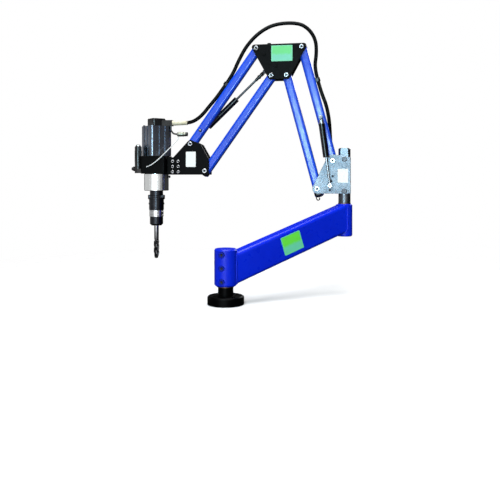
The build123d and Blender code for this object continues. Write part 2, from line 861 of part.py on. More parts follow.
elbow_bushes = pivot_bushes(elbow_pivots)
elbow_bushes.part.label = "elbow_bushes"
export_step(elbow_bushes.part, "parts/elbow_bushes.step")

with BuildPart() as elbow_spacers:
    with BuildSketch(linkage_plane(-plate_inner)):
        with Locations(*spacer_places):
            Circle(spacer_diameter / 2)
    extrude(amount=plate_gap)
    with BuildSketch(linkage_plane(-plate_outer - spacer_head_height)):
        with Locations(*spacer_places):
            Circle(spacer_stud_diameter / 2)
    extrude(amount=2 * (plate_outer + spacer_head_height))
    for face, outward in ((-plate_outer, -1), (plate_outer, 1)):
        with BuildSketch(linkage_plane(face)):
            with Locations(*spacer_places):
                Circle(spacer_head_diameter / 2)
        extrude(amount=outward * spacer_head_height)
elbow_spacers.part.label = "elbow_spacers"
export_step(elbow_spacers.part, "parts/elbow_spacers.step")

# Gas struts

rear_strut_pivot = along(upper_shoulder, elbow_rear_upper, rear_strut_arm_distance)
front_strut_pivot = along(head_upper, elbow_front_upper, front_strut_arm_distance)
front_strut_eye_place = (
    elbow_front_upper[0] - front_strut_eye_reach,
    elbow_front_upper[1] - front_strut_eye_drop,
)


def strut_plane(pivot, eye, side, distance):
    """Plane square to a strut, at a distance from its cylinder pivot towards its rod eye."""
    run = (link_point(*eye) - link_point(*pivot)).normalized()
    start = link_point(pivot[0], pivot[1], side * strut_depth)
    return Plane(origin=start + run * distance, x_dir=(0, 1, 0), z_dir=run)


def cross_disc(place, diameter, near, far):
    """Disc or stud across the linkage at place, between two depths."""
    with BuildPart() as disc:
        with BuildSketch(linkage_plane(min(near, far))):
            with Locations(place):
                Circle(diameter / 2)
        extrude(amount=abs(far - near))
    return disc.part


def strut_cylinder(pivot, eye, side, length):
    """Gas cylinder with its end eye and the stud that turns in the arm."""
    bore_start = strut_fork_length + strut_cylinder_wall
    gland_start = strut_fork_length + length - strut_gland_thickness
    eye_near = side * (strut_depth - strut_eye_thickness / 2)
    eye_far = side * (strut_depth + strut_eye_thickness / 2)
    arm_face = side * (arm_size / 2 + slide_gap)
    discs = [
        cross_disc(pivot, strut_eye_diameter, eye_near, eye_far),
        cross_disc(pivot, strut_stud_shoulder, eye_near, arm_face),
        cross_disc(pivot, strut_stud_diameter, eye_far + side * strut_stud_tip, -arm_face),
        cross_disc(pivot, strut_stud_shoulder, -arm_face, -arm_face - side * strut_stud_nut),
    ]
    with BuildPart() as cylinder:
        with BuildSketch(strut_plane(pivot, eye, side, strut_fork_length)):
            Circle(strut_cylinder_diameter / 2)
        extrude(amount=length)
        chamfer(cylinder.edges().filter_by(GeomType.CIRCLE), strut_end_chamfer)
        with BuildSketch(strut_plane(pivot, eye, side, bore_start)):
            Circle(strut_cylinder_diameter / 2 - strut_cylinder_wall)
        extrude(amount=gland_start - bore_start, mode=Mode.SUBTRACT)
        with BuildSketch(strut_plane(pivot, eye, side, gland_start)):
            Circle(strut_rod_diameter / 2 + running_clearance)
        extrude(amount=strut_gland_thickness, mode=Mode.SUBTRACT)
        with BuildSketch(strut_plane(pivot, eye, side, 0)):
            Circle(strut_rod_diameter / 2)
        extrude(amount=bore_start)
        add(discs)
    return cylinder


def strut_rod(pivot, eye, side, length, piston_depth):
    """Rod with its piston, its end eye and the stud on the plate side."""
    span = hypot(eye[0] - pivot[0], eye[1] - pivot[1])
    piston_start = strut_fork_length + length - piston_depth
    bore_radius = strut_cylinder_diameter / 2 - strut_cylinder_wall
    eye_near = side * (strut_depth - strut_eye_thickness / 2)
    eye_far = side * (strut_depth + strut_eye_thickness / 2)
    discs = [
        cross_disc(eye, strut_eye_diameter, eye_near, eye_far),
        cross_disc(eye, strut_stud_shoulder, eye_near, side * (plate_outer + slide_gap)),
        cross_disc(eye, strut_stud_diameter, eye_far, eye_far + side * strut_stud_tip),
    ]
    with BuildPart() as rod:
        with BuildSketch(strut_plane(pivot, eye, side, piston_start)):
            Circle(bore_radius - running_clearance)
        extrude(amount=strut_piston_thickness)
        with BuildSketch(strut_plane(pivot, eye, side, piston_start)):
            Circle(strut_rod_diameter / 2)
        extrude(amount=span - piston_start)
        add(discs)
    return rod


rear_strut_cylinder = strut_cylinder(rear_strut_pivot, strut_eye_place, -1, rear_strut_cylinder_length)
rear_strut_cylinder.part.label = "rear_strut_cylinder"
export_step(rear_strut_cylinder.part, "parts/rear_strut_cylinder.step")

rear_strut_rod = strut_rod(
    rear_strut_pivot, strut_eye_place, -1, rear_strut_cylinder_length, rear_strut_piston_depth
)
rear_strut_rod.part.label = "rear_strut_rod"
export_step(rear_strut_rod.part, "parts/rear_strut_rod.step")

front_strut_cylinder = strut_cylinder(
    front_strut_pivot, front_strut_eye_place, 1, front_strut_cylinder_length
)
front_strut_cylinder.part.label = "front_strut_cylinder"
export_step(front_strut_cylinder.part, "parts/front_strut_cylinder.step")

front_strut_rod = strut_rod(
    front_strut_pivot, front_strut_eye_place, 1, front_strut_cylinder_length, front_strut_piston_depth
)
front_strut_rod.part.label = "front_strut_rod"
export_step(front_strut_rod.part, "parts/front_strut_rod.step")

# Head

head_back = head_lower[0] - head_plate_margin
head_front = housing_back - head_plate_nose
head_throat = head_front - head_plate_throat
head_screw_places = [
    (
        head_front - head_screw_edge - column * head_screw_column_pitch,
        head_floor + head_screw_low + row * head_screw_row_pitch,
    )
    for column in range(head_screw_columns)
    for row in range(head_screw_rows)
]


def head_plate(depth):
    """One head plate: a lobe at the upper pivot, a low nose that carries the gear housing's tongue."""
    with BuildPart() as plate:
        with BuildSketch(linkage_plane(depth)):
            with BuildLine():
                Polyline(
                    (head_back, head_floor),
                    (head_throat, head_floor),
                    (head_throat, head_floor + head_plate_step),
                    (head_back, head_floor + head_plate_side),
                    close=True,
                )
            make_face()
            with Locations(head_upper):
                Circle(head_plate_lobe)
                with Locations((-head_shoulder_reach, -head_shoulder_drop)):
                    Circle(head_shoulder_radius)
            make_hull()
            with Locations((head_throat, head_floor)):
                Rectangle(head_plate_throat, head_plate_step, align=(Align.MIN, Align.MIN))
        extrude(amount=plate_thickness)
        fillet(plate.edges().filter_by(Axis.Y), head_plate_round)
        chamfer(plate.faces().filter_by(Axis.Y).edges(), plate_edge_chamfer)
        with BuildSketch(linkage_plane(depth)):
            with Locations(*head_pivots):
                Circle(pivot_pin_diameter / 2 + seat_clearance)
            with Locations(*head_screw_places):
                Circle(head_screw_diameter / 2 + seat_clearance)
        extrude(amount=plate_thickness, mode=Mode.SUBTRACT)
    return plate


head_front_plate = head_plate(-plate_outer)
head_front_plate.part.label = "head_front_plate"
export_step(head_front_plate.part, "parts/head_front_plate.step")

head_rear_plate = head_plate(plate_inner)
head_rear_plate.part.label = "head_rear_plate"
export_step(head_rear_plate.part, "parts/head_rear_plate.step")

head_pins = pivot_pins(head_pivots)
head_pins.label = "head_pins"
export_step(head_pins, "parts/head_pins.step")

head_bushes = pivot_bushes(head_pivots)
head_bushes.part.label = "head_bushes"
export_step(head_bushes.part, "parts/head_bushes.step")

head_screws = cap_screws(
    head_screw_places,
    head_screw_diameter,
    head_screw_head_diameter,
    head_screw_head_height,
    head_screw_nut_width,
    head_screw_head_height,
)
head_screws.label = "head_screws"
export_step(head_screws, "parts/head_screws.step")

# Reducer levels, counted down from the motor's seat
gear_top = housing_top - reducer_wall
gear_bottom = gear_top - gear_width
carrier_top = gear_bottom - planet_side_gap
carrier_bottom = carrier_top - carrier_thickness
reducer_floor = carrier_bottom - slide_gap
gear_addendum = gear_addendum_share * gear_module
gear_dedendum = gear_dedendum_share * gear_module
flank_slope = tan(radians(pressure_angle))
planet_circle = gear_module * (sun_teeth + planet_teeth) / 2
planet_count = 3


def tooth(pitch_width, inner_radius, pitch_radius, outer_radius):
    """Straight sided tooth on the x axis, rooted a little inside its inner radius."""
    root_radius = inner_radius - tooth_root_overlap
    root_half = pitch_width / 2 + flank_slope * (pitch_radius - root_radius)
    tip_half = pitch_width / 2 - flank_slope * (outer_radius - pitch_radius)
    with BuildSketch() as one_tooth:
        with BuildLine():
            Polyline(
                (root_radius, -root_half),
                (outer_radius, -tip_half),
                (outer_radius, tip_half),
                (root_radius, root_half),
                close=True,
            )
        make_face()
    return one_tooth.sketch


def gear_outline(teeth, turn):
    """Spur gear of the reducer's module, turned about its axis."""
    pitch_radius = gear_module * teeth / 2
    root_radius = pitch_radius - gear_dedendum
    width = pi * gear_module / 2 - gear_backlash
    one_tooth = tooth(width, root_radius, pitch_radius, pitch_radius + gear_addendum)
    with BuildSketch() as gear:
        Circle(root_radius)
        with PolarLocations(0, teeth, start_angle=turn):
            add(one_tooth)
    return gear.sketch


ring_pitch_radius = gear_module * ring_teeth / 2
ring_tip_radius = ring_pitch_radius - gear_addendum
ring_space_width = pi * gear_module / 2 + gear_backlash
ring_space = tooth(ring_space_width, ring_tip_radius, ring_pitch_radius, ring_pitch_radius + gear_dedendum)
tongue_bottom = head_floor + tongue_lift
with BuildPart(upright(spindle_x, column_y, housing_bottom)) as gear_housing:
    Box(housing_width, housing_width, housing_height, align=STAND)
    fillet(gear_housing.edges().filter_by(Axis.Z), housing_edge_round)
    chamfer(gear_housing.faces().filter_by(Axis.Z).edges(), plate_edge_chamfer)
    with BuildSketch(linkage_plane(-plate_inner)):
        with Locations((housing_back - tongue_length, tongue_bottom)):
            Rectangle(tongue_length + housing_edge_round, tongue_height, align=(Align.MIN, Align.MIN))
        with Locations(*head_screw_places):
            Circle(head_screw_diameter / 2 + seat_clearance, mode=Mode.SUBTRACT)
    extrude(amount=plate_gap)
    with BuildSketch(upright(spindle_x, column_y, reducer_floor)):
        Circle(ring_tip_radius)
        with PolarLocations(0, ring_teeth, start_angle=180 / ring_teeth):
            add(ring_space)
    extrude(amount=housing_top - reducer_floor, mode=Mode.SUBTRACT)
    with BuildSketch(upright(spindle_x, column_y, housing_bottom)):
        Circle(spindle_diameter / 2 + spindle_room)
    extrude(amount=reducer_floor - housing_bottom, mode=Mode.SUBTRACT)
gear_housing.part.label = "gear_housing"
export_step(gear_housing.part, "parts/gear_housing.step")

with BuildPart(upright(spindle_x, column_y, collar_bottom)) as bearing_collar:
    Cylinder(collar_diameter / 2, collar_height, align=STAND)
    chamfer(bearing_collar.edges(), collar_edge_chamfer)
    Cylinder(spindle_diameter / 2 + spindle_room, collar_height, align=STAND, mode=Mode.SUBTRACT)
    with Locations((0, 0, collar_lip_height)):
        Cylinder(
            bearing_outer_diameter / 2 + seat_clearance,
            collar_height - collar_lip_height,
            align=STAND,
            mode=Mode.SUBTRACT,
        )
bearing_collar.part.label = "bearing_collar"
export_step(bearing_collar.part, "parts/bearing_collar.step")

with BuildPart(upright(spindle_x, column_y, collar_bottom + collar_lip_height)) as spindle_bearings:
    with Locations((0, 0, 0), (0, 0, bearing_spacing)):
        Cylinder(bearing_outer_diameter / 2, bearing_width, align=STAND)
        Cylinder(spindle_diameter / 2 + running_clearance, bearing_width, align=STAND, mode=Mode.SUBTRACT)
spindle_bearings.part.label = "spindle_bearings"
export_step(spindle_bearings.part, "parts/spindle_bearings.step")

motor_heading = radians(motor_turn)
motor_x_dir = (cos(motor_heading), sin(motor_heading), 0)


def motor_plane(height):
    """Level plane on the spindle axis, turned with the motor."""
    return Plane(origin=(spindle_x, column_y, height), x_dir=motor_x_dir, z_dir=(0, 0, 1))


with BuildPart() as motor_body:
    with BuildSketch(motor_plane(housing_top)):
        RectangleRounded(motor_width, motor_width, motor_corner_round)
        with PolarLocations(motor_width / 2, 4):
            with Locations((0, -motor_groove_pitch / 2), (0, motor_groove_pitch / 2)):
                Rectangle(2 * motor_groove_depth, motor_groove_width, mode=Mode.SUBTRACT)
    extrude(amount=motor_height)
    with BuildSketch(motor_plane(housing_top + motor_end_wall)):
        Circle(motor_bore_diameter / 2)
    extrude(amount=motor_height - 2 * motor_end_wall, mode=Mode.SUBTRACT)
    with BuildSketch(motor_plane(housing_top)):
        Circle(rotor_shaft_diameter / 2 + running_clearance)
    extrude(amount=motor_height, mode=Mode.SUBTRACT)
motor_body.part.label = "motor_body"
export_step(motor_body.part, "parts/motor_body.step")

sun_outline = gear_outline(sun_teeth, 0)
with BuildPart() as motor_rotor:
    with BuildSketch(upright(spindle_x, column_y, gear_bottom)):
        add(sun_outline)
    extrude(amount=gear_width)
    with BuildSketch(upright(spindle_x, column_y, gear_bottom)):
        Circle(rotor_shaft_diameter / 2)
    extrude(amount=motor_top - gear_bottom)
    with BuildSketch(upright(spindle_x, column_y, housing_top + motor_end_wall + rotor_end_gap)):
        Circle(rotor_diameter / 2)
    extrude(amount=motor_height - 2 * (motor_end_wall + rotor_end_gap))
motor_rotor.part.label = "motor_rotor"
export_step(motor_rotor.part, "parts/motor_rotor.step")

planet_names = ("planet_gear_a", "planet_gear_b", "planet_gear_c")
planet_angles = [radians(index * 360 / planet_count) for index in range(planet_count)]
planet_places = [
    (spindle_x + planet_circle * cos(angle), column_y + planet_circle * sin(angle))
    for angle in planet_angles
]
for planet_name, planet_angle, planet_place in zip(planet_names, planet_angles, planet_places):
    planet_outline = gear_outline(planet_teeth, degrees(planet_angle) + 180 / planet_teeth)
    with BuildPart() as planet_gear:
        with BuildSketch(upright(*planet_place, gear_bottom)):
            add(planet_outline)
            Circle(planet_pin_diameter / 2 + running_clearance, mode=Mode.SUBTRACT)
        extrude(amount=gear_width)
    planet_gear.part.label = planet_name
    export_step(planet_gear.part, f"parts/{planet_name}.step")

# The encoder's signal connector hangs on a moulded lead under its socket
plug_height = motor_top + plug_lift
socket_under = plug_height - socket_height / 2
signal_height = plug_height - signal_drop
lead_top = link_point(spindle_reach - socket_reach + lead_inset, socket_under, -lead_forward)
signal_back = link_point(spindle_reach - socket_reach - signal_gap, signal_height, -lead_forward)
lead_route = [
    lead_top,
    lead_top - Vector(0, 0, lead_fall),
    signal_back - Vector(lead_fall, 0, -lead_rise),
    signal_back,
]
with BuildPart() as encoder_cap:
    with BuildSketch(motor_plane(motor_top)):
        RectangleRounded(encoder_width, encoder_width, encoder_corner_round)
    extrude(amount=encoder_height)
    fillet(encoder_cap.edges().group_by(Axis.Z)[-1], encoder_top_round)
    with BuildSketch(linkage_plane(-socket_width / 2)):
        with Locations((spindle_reach, plug_height)):
            Rectangle(socket_reach, socket_height, align=(Align.MAX, Align.CENTER))
    extrude(amount=socket_width)
    with BuildSketch(motor_plane(motor_top)):
        RectangleRounded(
            encoder_width - 2 * encoder_wall,
            encoder_width - 2 * encoder_wall,
            encoder_corner_round - encoder_wall,
        )
    extrude(amount=encoder_height - encoder_wall, mode=Mode.SUBTRACT)
    with BuildLine():
        FilletPolyline(*lead_route, radius=lead_bend_radius)
    with BuildSketch(upright(lead_top.X, lead_top.Y, lead_top.Z)):
        Circle(lead_diameter / 2)
    sweep()
    with BuildSketch(Plane(origin=signal_back, x_dir=(0, 1, 0), z_dir=(1, 0, 0))):
        Circle(signal_diameter / 2)
    extrude(amount=signal_length)
encoder_cap.part.label = "encoder_cap"
export_step(encoder_cap.part, "parts/encoder_cap.step")

plug_start = link_point(spindle_reach - socket_reach, plug_height)
with BuildPart() as power_plug:
    with BuildSketch(Plane(origin=plug_start, x_dir=(0, 1, 0), z_dir=(1, 0, 0))):
        Circle(plug_diameter / 2)
    extrude(amount=plug_length)
    chamfer(power_plug.edges().group_by(Axis.X)[-1], plug_chamfer)
power_plug.part.label = "power_plug"
export_step(power_plug.part, "parts/power_plug.step")

# Spindle, chuck and tap

with BuildPart(upright(spindle_x, column_y, chuck_top)) as spindle:
    Cylinder(spindle_diameter / 2, carrier_bottom - chuck_top, align=STAND)
    Cylinder(chuck_socket_diameter / 2, chuck_socket_depth - slide_gap, align=HANG)
    with Locations((0, 0, carrier_bottom - chuck_top)):
        Cylinder(carrier_diameter / 2, carrier_thickness, align=STAND)
    with Locations((0, 0, carrier_top - chuck_top)):
        with PolarLocations(planet_circle, planet_count):
            Cylinder(planet_pin_diameter / 2, planet_side_gap + gear_width, align=STAND)
spindle.part.label = "spindle"
export_step(spindle.part, "parts/spindle.step")

with BuildPart(upright(spindle_x, column_y, chuck_shoulder)) as chuck_body:
    Cylinder(chuck_neck_diameter / 2, chuck_neck_height, align=STAND)
    Cylinder(chuck_body_diameter / 2, chuck_body_height, align=HANG)
    chamfer(chuck_body.edges().group_by(Axis.Z)[0], collar_edge_chamfer)
    with Locations((0, 0, -chuck_ridge_drop)):
        Cylinder(chuck_ridge_diameter / 2, chuck_ridge_height, align=HANG)
    with Locations((0, 0, chuck_neck_height)):
        Hole(chuck_socket_diameter / 2 + seat_clearance, depth=chuck_socket_depth)
    with Locations((0, 0, -chuck_body_height)):
        Cylinder(
            adapter_shank_diameter / 2 + seat_clearance,
            adapter_shank_length + slide_gap,
            align=STAND,
            mode=Mode.SUBTRACT,
        )
chuck_body.part.label = "chuck_body"
export_step(chuck_body.part, "parts/chuck_body.step")

with BuildPart(upright(spindle_x, column_y, chuck_shoulder)) as release_ring:
    Cylinder(release_ring_diameter / 2, release_ring_height, align=HANG)
    chamfer(release_ring.edges(), collar_edge_chamfer)
    Cylinder(
        chuck_body_diameter / 2 + running_clearance,
        release_ring_height,
        align=HANG,
        mode=Mode.SUBTRACT,
    )
release_ring.part.label = "release_ring"
export_step(release_ring.part, "parts/release_ring.step")

with BuildPart(upright(spindle_x, column_y, chuck_bottom)) as tap_adapter:
    Cylinder(adapter_band_diameter / 2, adapter_band_height, align=HANG)
    Cylinder(adapter_shank_diameter / 2, adapter_shank_length, align=STAND)
    with Locations((0, 0, -adapter_band_height)):
        Cylinder(
            tap_shank_diameter / 2 + seat_clearance,
            tap_shank_held - nut_height + slide_gap,
            align=STAND,
            mode=Mode.SUBTRACT,
        )
tap_adapter.part.label = "tap_adapter"
export_step(tap_adapter.part, "parts/tap_adapter.step")

with BuildPart(upright(spindle_x, column_y, band_bottom)) as adapter_nut:
    Cylinder(nut_diameter / 2, nut_height, align=HANG)
    chamfer(adapter_nut.edges().group_by(Axis.Z)[0], nut_chamfer)
    Hole(tap_shank_diameter / 2 + seat_clearance)
adapter_nut.part.label = "adapter_nut"
export_step(adapter_nut.part, "parts/adapter_nut.step")

with BuildPart(upright(spindle_x, column_y, nut_bottom)) as tap:
    Cylinder(tap_shank_diameter / 2, tap_shank_held, align=STAND)
    Cylinder(tap_shank_diameter / 2, tap_shank_exposed, align=HANG)
    with Locations((0, 0, -tap_shank_exposed)):
        Cylinder(tap_thread_diameter / 2, tap_thread_length - tap_lead_length, align=HANG)
    with Locations((0, 0, -tap_shank_exposed - tap_thread_length)):
        Cone(tap_lead_diameter / 2, tap_thread_diameter / 2, tap_lead_length, align=STAND)
    with Locations((0, 0, -tap_shank_exposed)):
        with PolarLocations(tap_flute_offset, tap_flute_count):
            Cylinder(tap_flute_diameter / 2, tap_thread_length, align=HANG, mode=Mode.SUBTRACT)
tap.part.label = "tap"
export_step(tap.part, "parts/tap.step")

# Operator grip

grip_bottom = housing_bottom + grip_lift
grip_reach = housing_width / 2 + grip_standoff
grip_forward = housing_width / 2 - grip_front_inset
grip_top = grip_bottom + grip_height
grip_place = link_point(spindle_reach + grip_reach, grip_bottom, -grip_forward)
reverse_height = grip_bottom + reverse_button_height
start_pocket = start_button_height - start_button_proud + button_pocket_spare
reverse_pocket = reverse_button_length - reverse_button_proud + button_pocket_spare
reverse_face = link_point(
    spindle_reach + grip_reach + grip_diameter / 2 + reverse_boss_length, reverse_height, -grip_forward
)
reverse_plane = Plane(origin=reverse_face, x_dir=(0, 1, 0), z_dir=(-1, 0, 0))
with BuildPart(upright(grip_place.X, grip_place.Y, grip_bottom)) as grip:
    Cylinder(grip_diameter / 2, grip_height, align=STAND)
    fillet(grip.edges().group_by(Axis.Z)[-1], grip_end_round)
    with BuildSketch(upright(grip_place.X, grip_place.Y, grip_bottom)):
        Rectangle(
            grip_standoff,
            grip_foot_depth,
            align=(Align.MIN, Align.CENTER),
        )
    extrude(amount=grip_foot_height)
    with BuildSketch(reverse_plane):
        Circle(reverse_boss_diameter / 2)
    extrude(amount=-(reverse_boss_length + grip_diameter / 2))
    with BuildSketch(reverse_plane):
        Circle(reverse_button_diameter / 2 + running_clearance)
    extrude(amount=-reverse_pocket, mode=Mode.SUBTRACT)
    with BuildSketch(upright(grip_place.X, grip_place.Y, grip_top)):
        Circle(start_button_diameter / 2 + running_clearance)
    extrude(amount=-start_pocket, mode=Mode.SUBTRACT)
grip.part.label = "grip"
export_step(grip.part, "parts/grip.step")

with BuildPart(upright(grip_place.X, grip_place.Y, grip_top + start_button_proud)) as start_button:
    Cylinder(start_button_diameter / 2, start_button_height, align=HANG)
    fillet(start_button.edges().group_by(Axis.Z)[-1], button_edge_round)
start_button.part.label = "start_button"
export_step(start_button.part, "parts/start_button.step")

with BuildPart() as reverse_button:
    with BuildSketch(reverse_plane.offset(reverse_button_proud)):
        Circle(reverse_button_diameter / 2)
    extrude(amount=-reverse_button_length)
    fillet(reverse_button.edges().group_by(Axis.X)[0], button_edge_round)
reverse_button.part.label = "reverse_button"
export_step(reverse_button.part, "parts/reverse_button.step")

# Cables as (reach, depth, height) points

plug_end_reach = spindle_reach - socket_reach - plug_length
head_cable_route = [
    (plug_end_reach, 0, plug_height),
    (plug_end_reach - cable_straight, 0, plug_height),
    (510.2, 0, 576),
    (486.5, 0, 594.4),
    (464.4, 0, 621),
    (431.62, 0, 658.45),
    (402.92, 0, 698.55),
]
front_loop_route = [
    (402.92, 0, 698.55),
    (379.96, 0, 730.63),
    (359.7, 0, 776.9),
    (330.7, 0, 828.9),
    (286.7, 0, 872.9),
    (231.7, 0, 899.4),
    (191.7, 0, 899.4),
]
rear_loop_route = [
    (191.7, 0, 899.4),
    (153.7, 0, 899.4),
    (116.7, 0, 875.9),
    (94.7, 0, 837.9),
    (92.7, 0, 792.9),
    (99.548, 0, 745.559),
    (88.659, 0, 705.202),
]
column_cable_route = [
    (88.659, 0, 705.202),
    (77.77, 0, 664.845),
    (60.5, 3, 622),
    (51.5, 13, 575),
    (49, 27.5, 532),
    (47.5, 38, 492),
    (42, 44, 455),
    (42, 44, 418),
]
button_wire_route = [
    (569.75, -9, 519.92),
    (569.75, -9, 511),
    (577.6, -18, 502.5),
    (588.3, -30, 484.8),
    (601, -42, 468.5),
    (615, -50.5, 452.2),
    (631.7, -55, 435.8),
    (648.5, -56, 423.1),
    (663.1, -53, 416),
    (673.75, -45.6, 413.8),
]


def cord_tube(route, diameter, name):
    """Tube of one free stretch: straight runs joined by arcs as large as the runs allow."""
    points = [link_point(reach, height, depth) for reach, depth, height in route]
    runs = [end - start for start, end in zip(points, points[1:])]
    turns = [radians(before.get_angle(after)) for before, after in zip(runs, runs[1:])]
    radii = [
        run_share * min(before.length, after.length) / tan(turn / 2)
        for before, after, turn in zip(runs, runs[1:], turns)
    ]
    with BuildPart() as tube:
        with BuildLine() as path:
            FilletPolyline(*points, radius=radii)
        with BuildSketch(Plane(origin=path.line @ 0, z_dir=path.line % 0)):
            Circle(diameter / 2)
        sweep()
    length = sum(edge.length for edge in path.edges())
    volume_ratio = tube.part.volume / (pi * diameter**2 / 4 * length)
    print(name, "length", round(length, 1), "volume ratio", round(volume_ratio, 4))
    print(name, "radii", [round(radius) for radius in radii])
    return tube


head_cable = cord_tube(head_cable_route, cable_diameter, "head_cable")
head_cable.part.label = "head_cable"
export_step(head_cable.part, "parts/head_cable.step")

front_loop_cable = cord_tube(front_loop_route, cable_diameter, "front_loop_cable")
front_loop_cable.part.label = "front_loop_cable"
export_step(front_loop_cable.part, "parts/front_loop_cable.step")

rear_loop_cable = cord_tube(rear_loop_route, cable_diameter, "rear_loop_cable")
rear_loop_cable.part.label = "rear_loop_cable"
export_step(rear_loop_cable.part, "parts/rear_loop_cable.step")

column_cable = cord_tube(column_cable_route, cable_diameter, "column_cable")
column_cable.part.label = "column_cable"
export_step(column_cable.part, "parts/column_cable.step")

button_wire = cord_tube(button_wire_route, wire_diameter, "button_wire")
button_wire.part.label = "button_wire"
export_step(button_wire.part, "parts/button_wire.step")
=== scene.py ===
"""Looks of a flex arm tapping machine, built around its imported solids."""

import logging
import math
from dataclasses import dataclass
from enum import Enum
from typing import Callable, Iterable, Sequence

import bpy
from mathutils import Matrix, Vector


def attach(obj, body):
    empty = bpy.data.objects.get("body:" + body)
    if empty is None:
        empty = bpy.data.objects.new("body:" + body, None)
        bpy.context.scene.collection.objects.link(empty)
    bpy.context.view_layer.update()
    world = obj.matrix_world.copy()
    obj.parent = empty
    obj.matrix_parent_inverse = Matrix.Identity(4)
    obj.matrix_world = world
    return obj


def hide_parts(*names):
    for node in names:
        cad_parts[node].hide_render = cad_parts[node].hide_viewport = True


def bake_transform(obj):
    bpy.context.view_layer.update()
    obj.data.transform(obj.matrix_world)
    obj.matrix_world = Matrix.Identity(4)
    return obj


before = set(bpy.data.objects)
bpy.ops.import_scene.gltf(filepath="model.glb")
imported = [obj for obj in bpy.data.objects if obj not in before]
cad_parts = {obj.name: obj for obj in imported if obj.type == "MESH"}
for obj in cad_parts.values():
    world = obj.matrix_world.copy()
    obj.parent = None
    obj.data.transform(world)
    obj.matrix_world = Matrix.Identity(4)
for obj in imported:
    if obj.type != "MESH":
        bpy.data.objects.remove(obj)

log = logging.getLogger("tapping_machine")

MM = 0.001

Colour = tuple[float, float, float]
Point = tuple[float, float, float]
Pair = tuple[float, float]
Profile = Sequence[Pair]
Piece = bpy.types.Object
Socket = bpy.types.NodeSocket

WHITE: Colour = (1.0, 1.0, 1.0)
ORIGIN: Point = (0.0, 0.0, 0.0)
UP = Vector((0.0, 0.0, 1.0))
NEAR = Vector((0.0, -1.0, 0.0))
RIGHT = Vector((1.0, 0.0, 0.0))

# Bands in which a cloudy value is read, and the full range over which it is spread
TIGHT: Pair = (0.35, 0.7)
MIDDLE: Pair = (0.3, 0.7)
WIDE: Pair = (0.25, 0.75)
FULL: Pair = (0.0, 1.0)


class Body(str, Enum):
    """Moving bodies that carry loose pieces."""

    BOOM = "boom"
    COLUMN = "column"
    REAR_OUTER = "rear_outer_link"
    REAR_INNER = "rear_inner_link"
    ELBOW = "elbow"
    FRONT_OUTER = "front_outer_link"
    FRONT_INNER = "front_inner_link"
    HEAD = "head"
    SPINDLE = "spindle"
    RELEASE = "release_sleeve"
    REAR_STRUT = "rear_strut_tube"
    REAR_PISTON = "rear_strut_piston"
    FRONT_STRUT = "front_strut_tube"
    FRONT_PISTON = "front_strut_piston"


class Slot(str, Enum):
    """Material slots of the record that loose pieces belong to."""

    BLACK_PAINT = "black_paint"
    BOOM_PAINT = "blue_boom_paint"
    STEEL = "steel"
    DARK_SCREW = "dark_screw"
    CREAM_PLUG = "cream_plug"
    BLACK_PLASTIC = "black_plastic"
    CHUCK_BLACK = "chuck_black"
    TAP_STEEL = "tap_steel"
    STRUT_BLACK = "strut_black"
    CABLE_RUBBER = "cable_rubber"
    WIRE_SHEATH = "wire_sheath"


class Lay(str, Enum):
    """How a cord lies."""

    LOOSE = "loose"
    HANGING = "hanging"


@dataclass(frozen=True)
class Linkage:
    """Upright plane of the links, in which places are a reach from the column, a height and a depth."""

    column_x: float = 342.4219
    column_y: float = 287.3261
    spindle_reach: float = 652.495

    def point(self, reach: float, height: float, depth: float = 0.0) -> Vector:
        """Place in the row frame.

        Args:
            reach: millimetres from the column axis towards the head.
            height: millimetres over the bench.
            depth: millimetres behind the plane of the links.

        Returns:
            The point in metres.
        """
        return Vector((self.column_x - reach, self.column_y + depth, height)) * MM

    def spindle(self, height: float) -> Vector:
        """Point on the spindle axis at a height in millimetres."""
        return self.point(self.spindle_reach, height)


LINKS = Linkage()


# Finishes


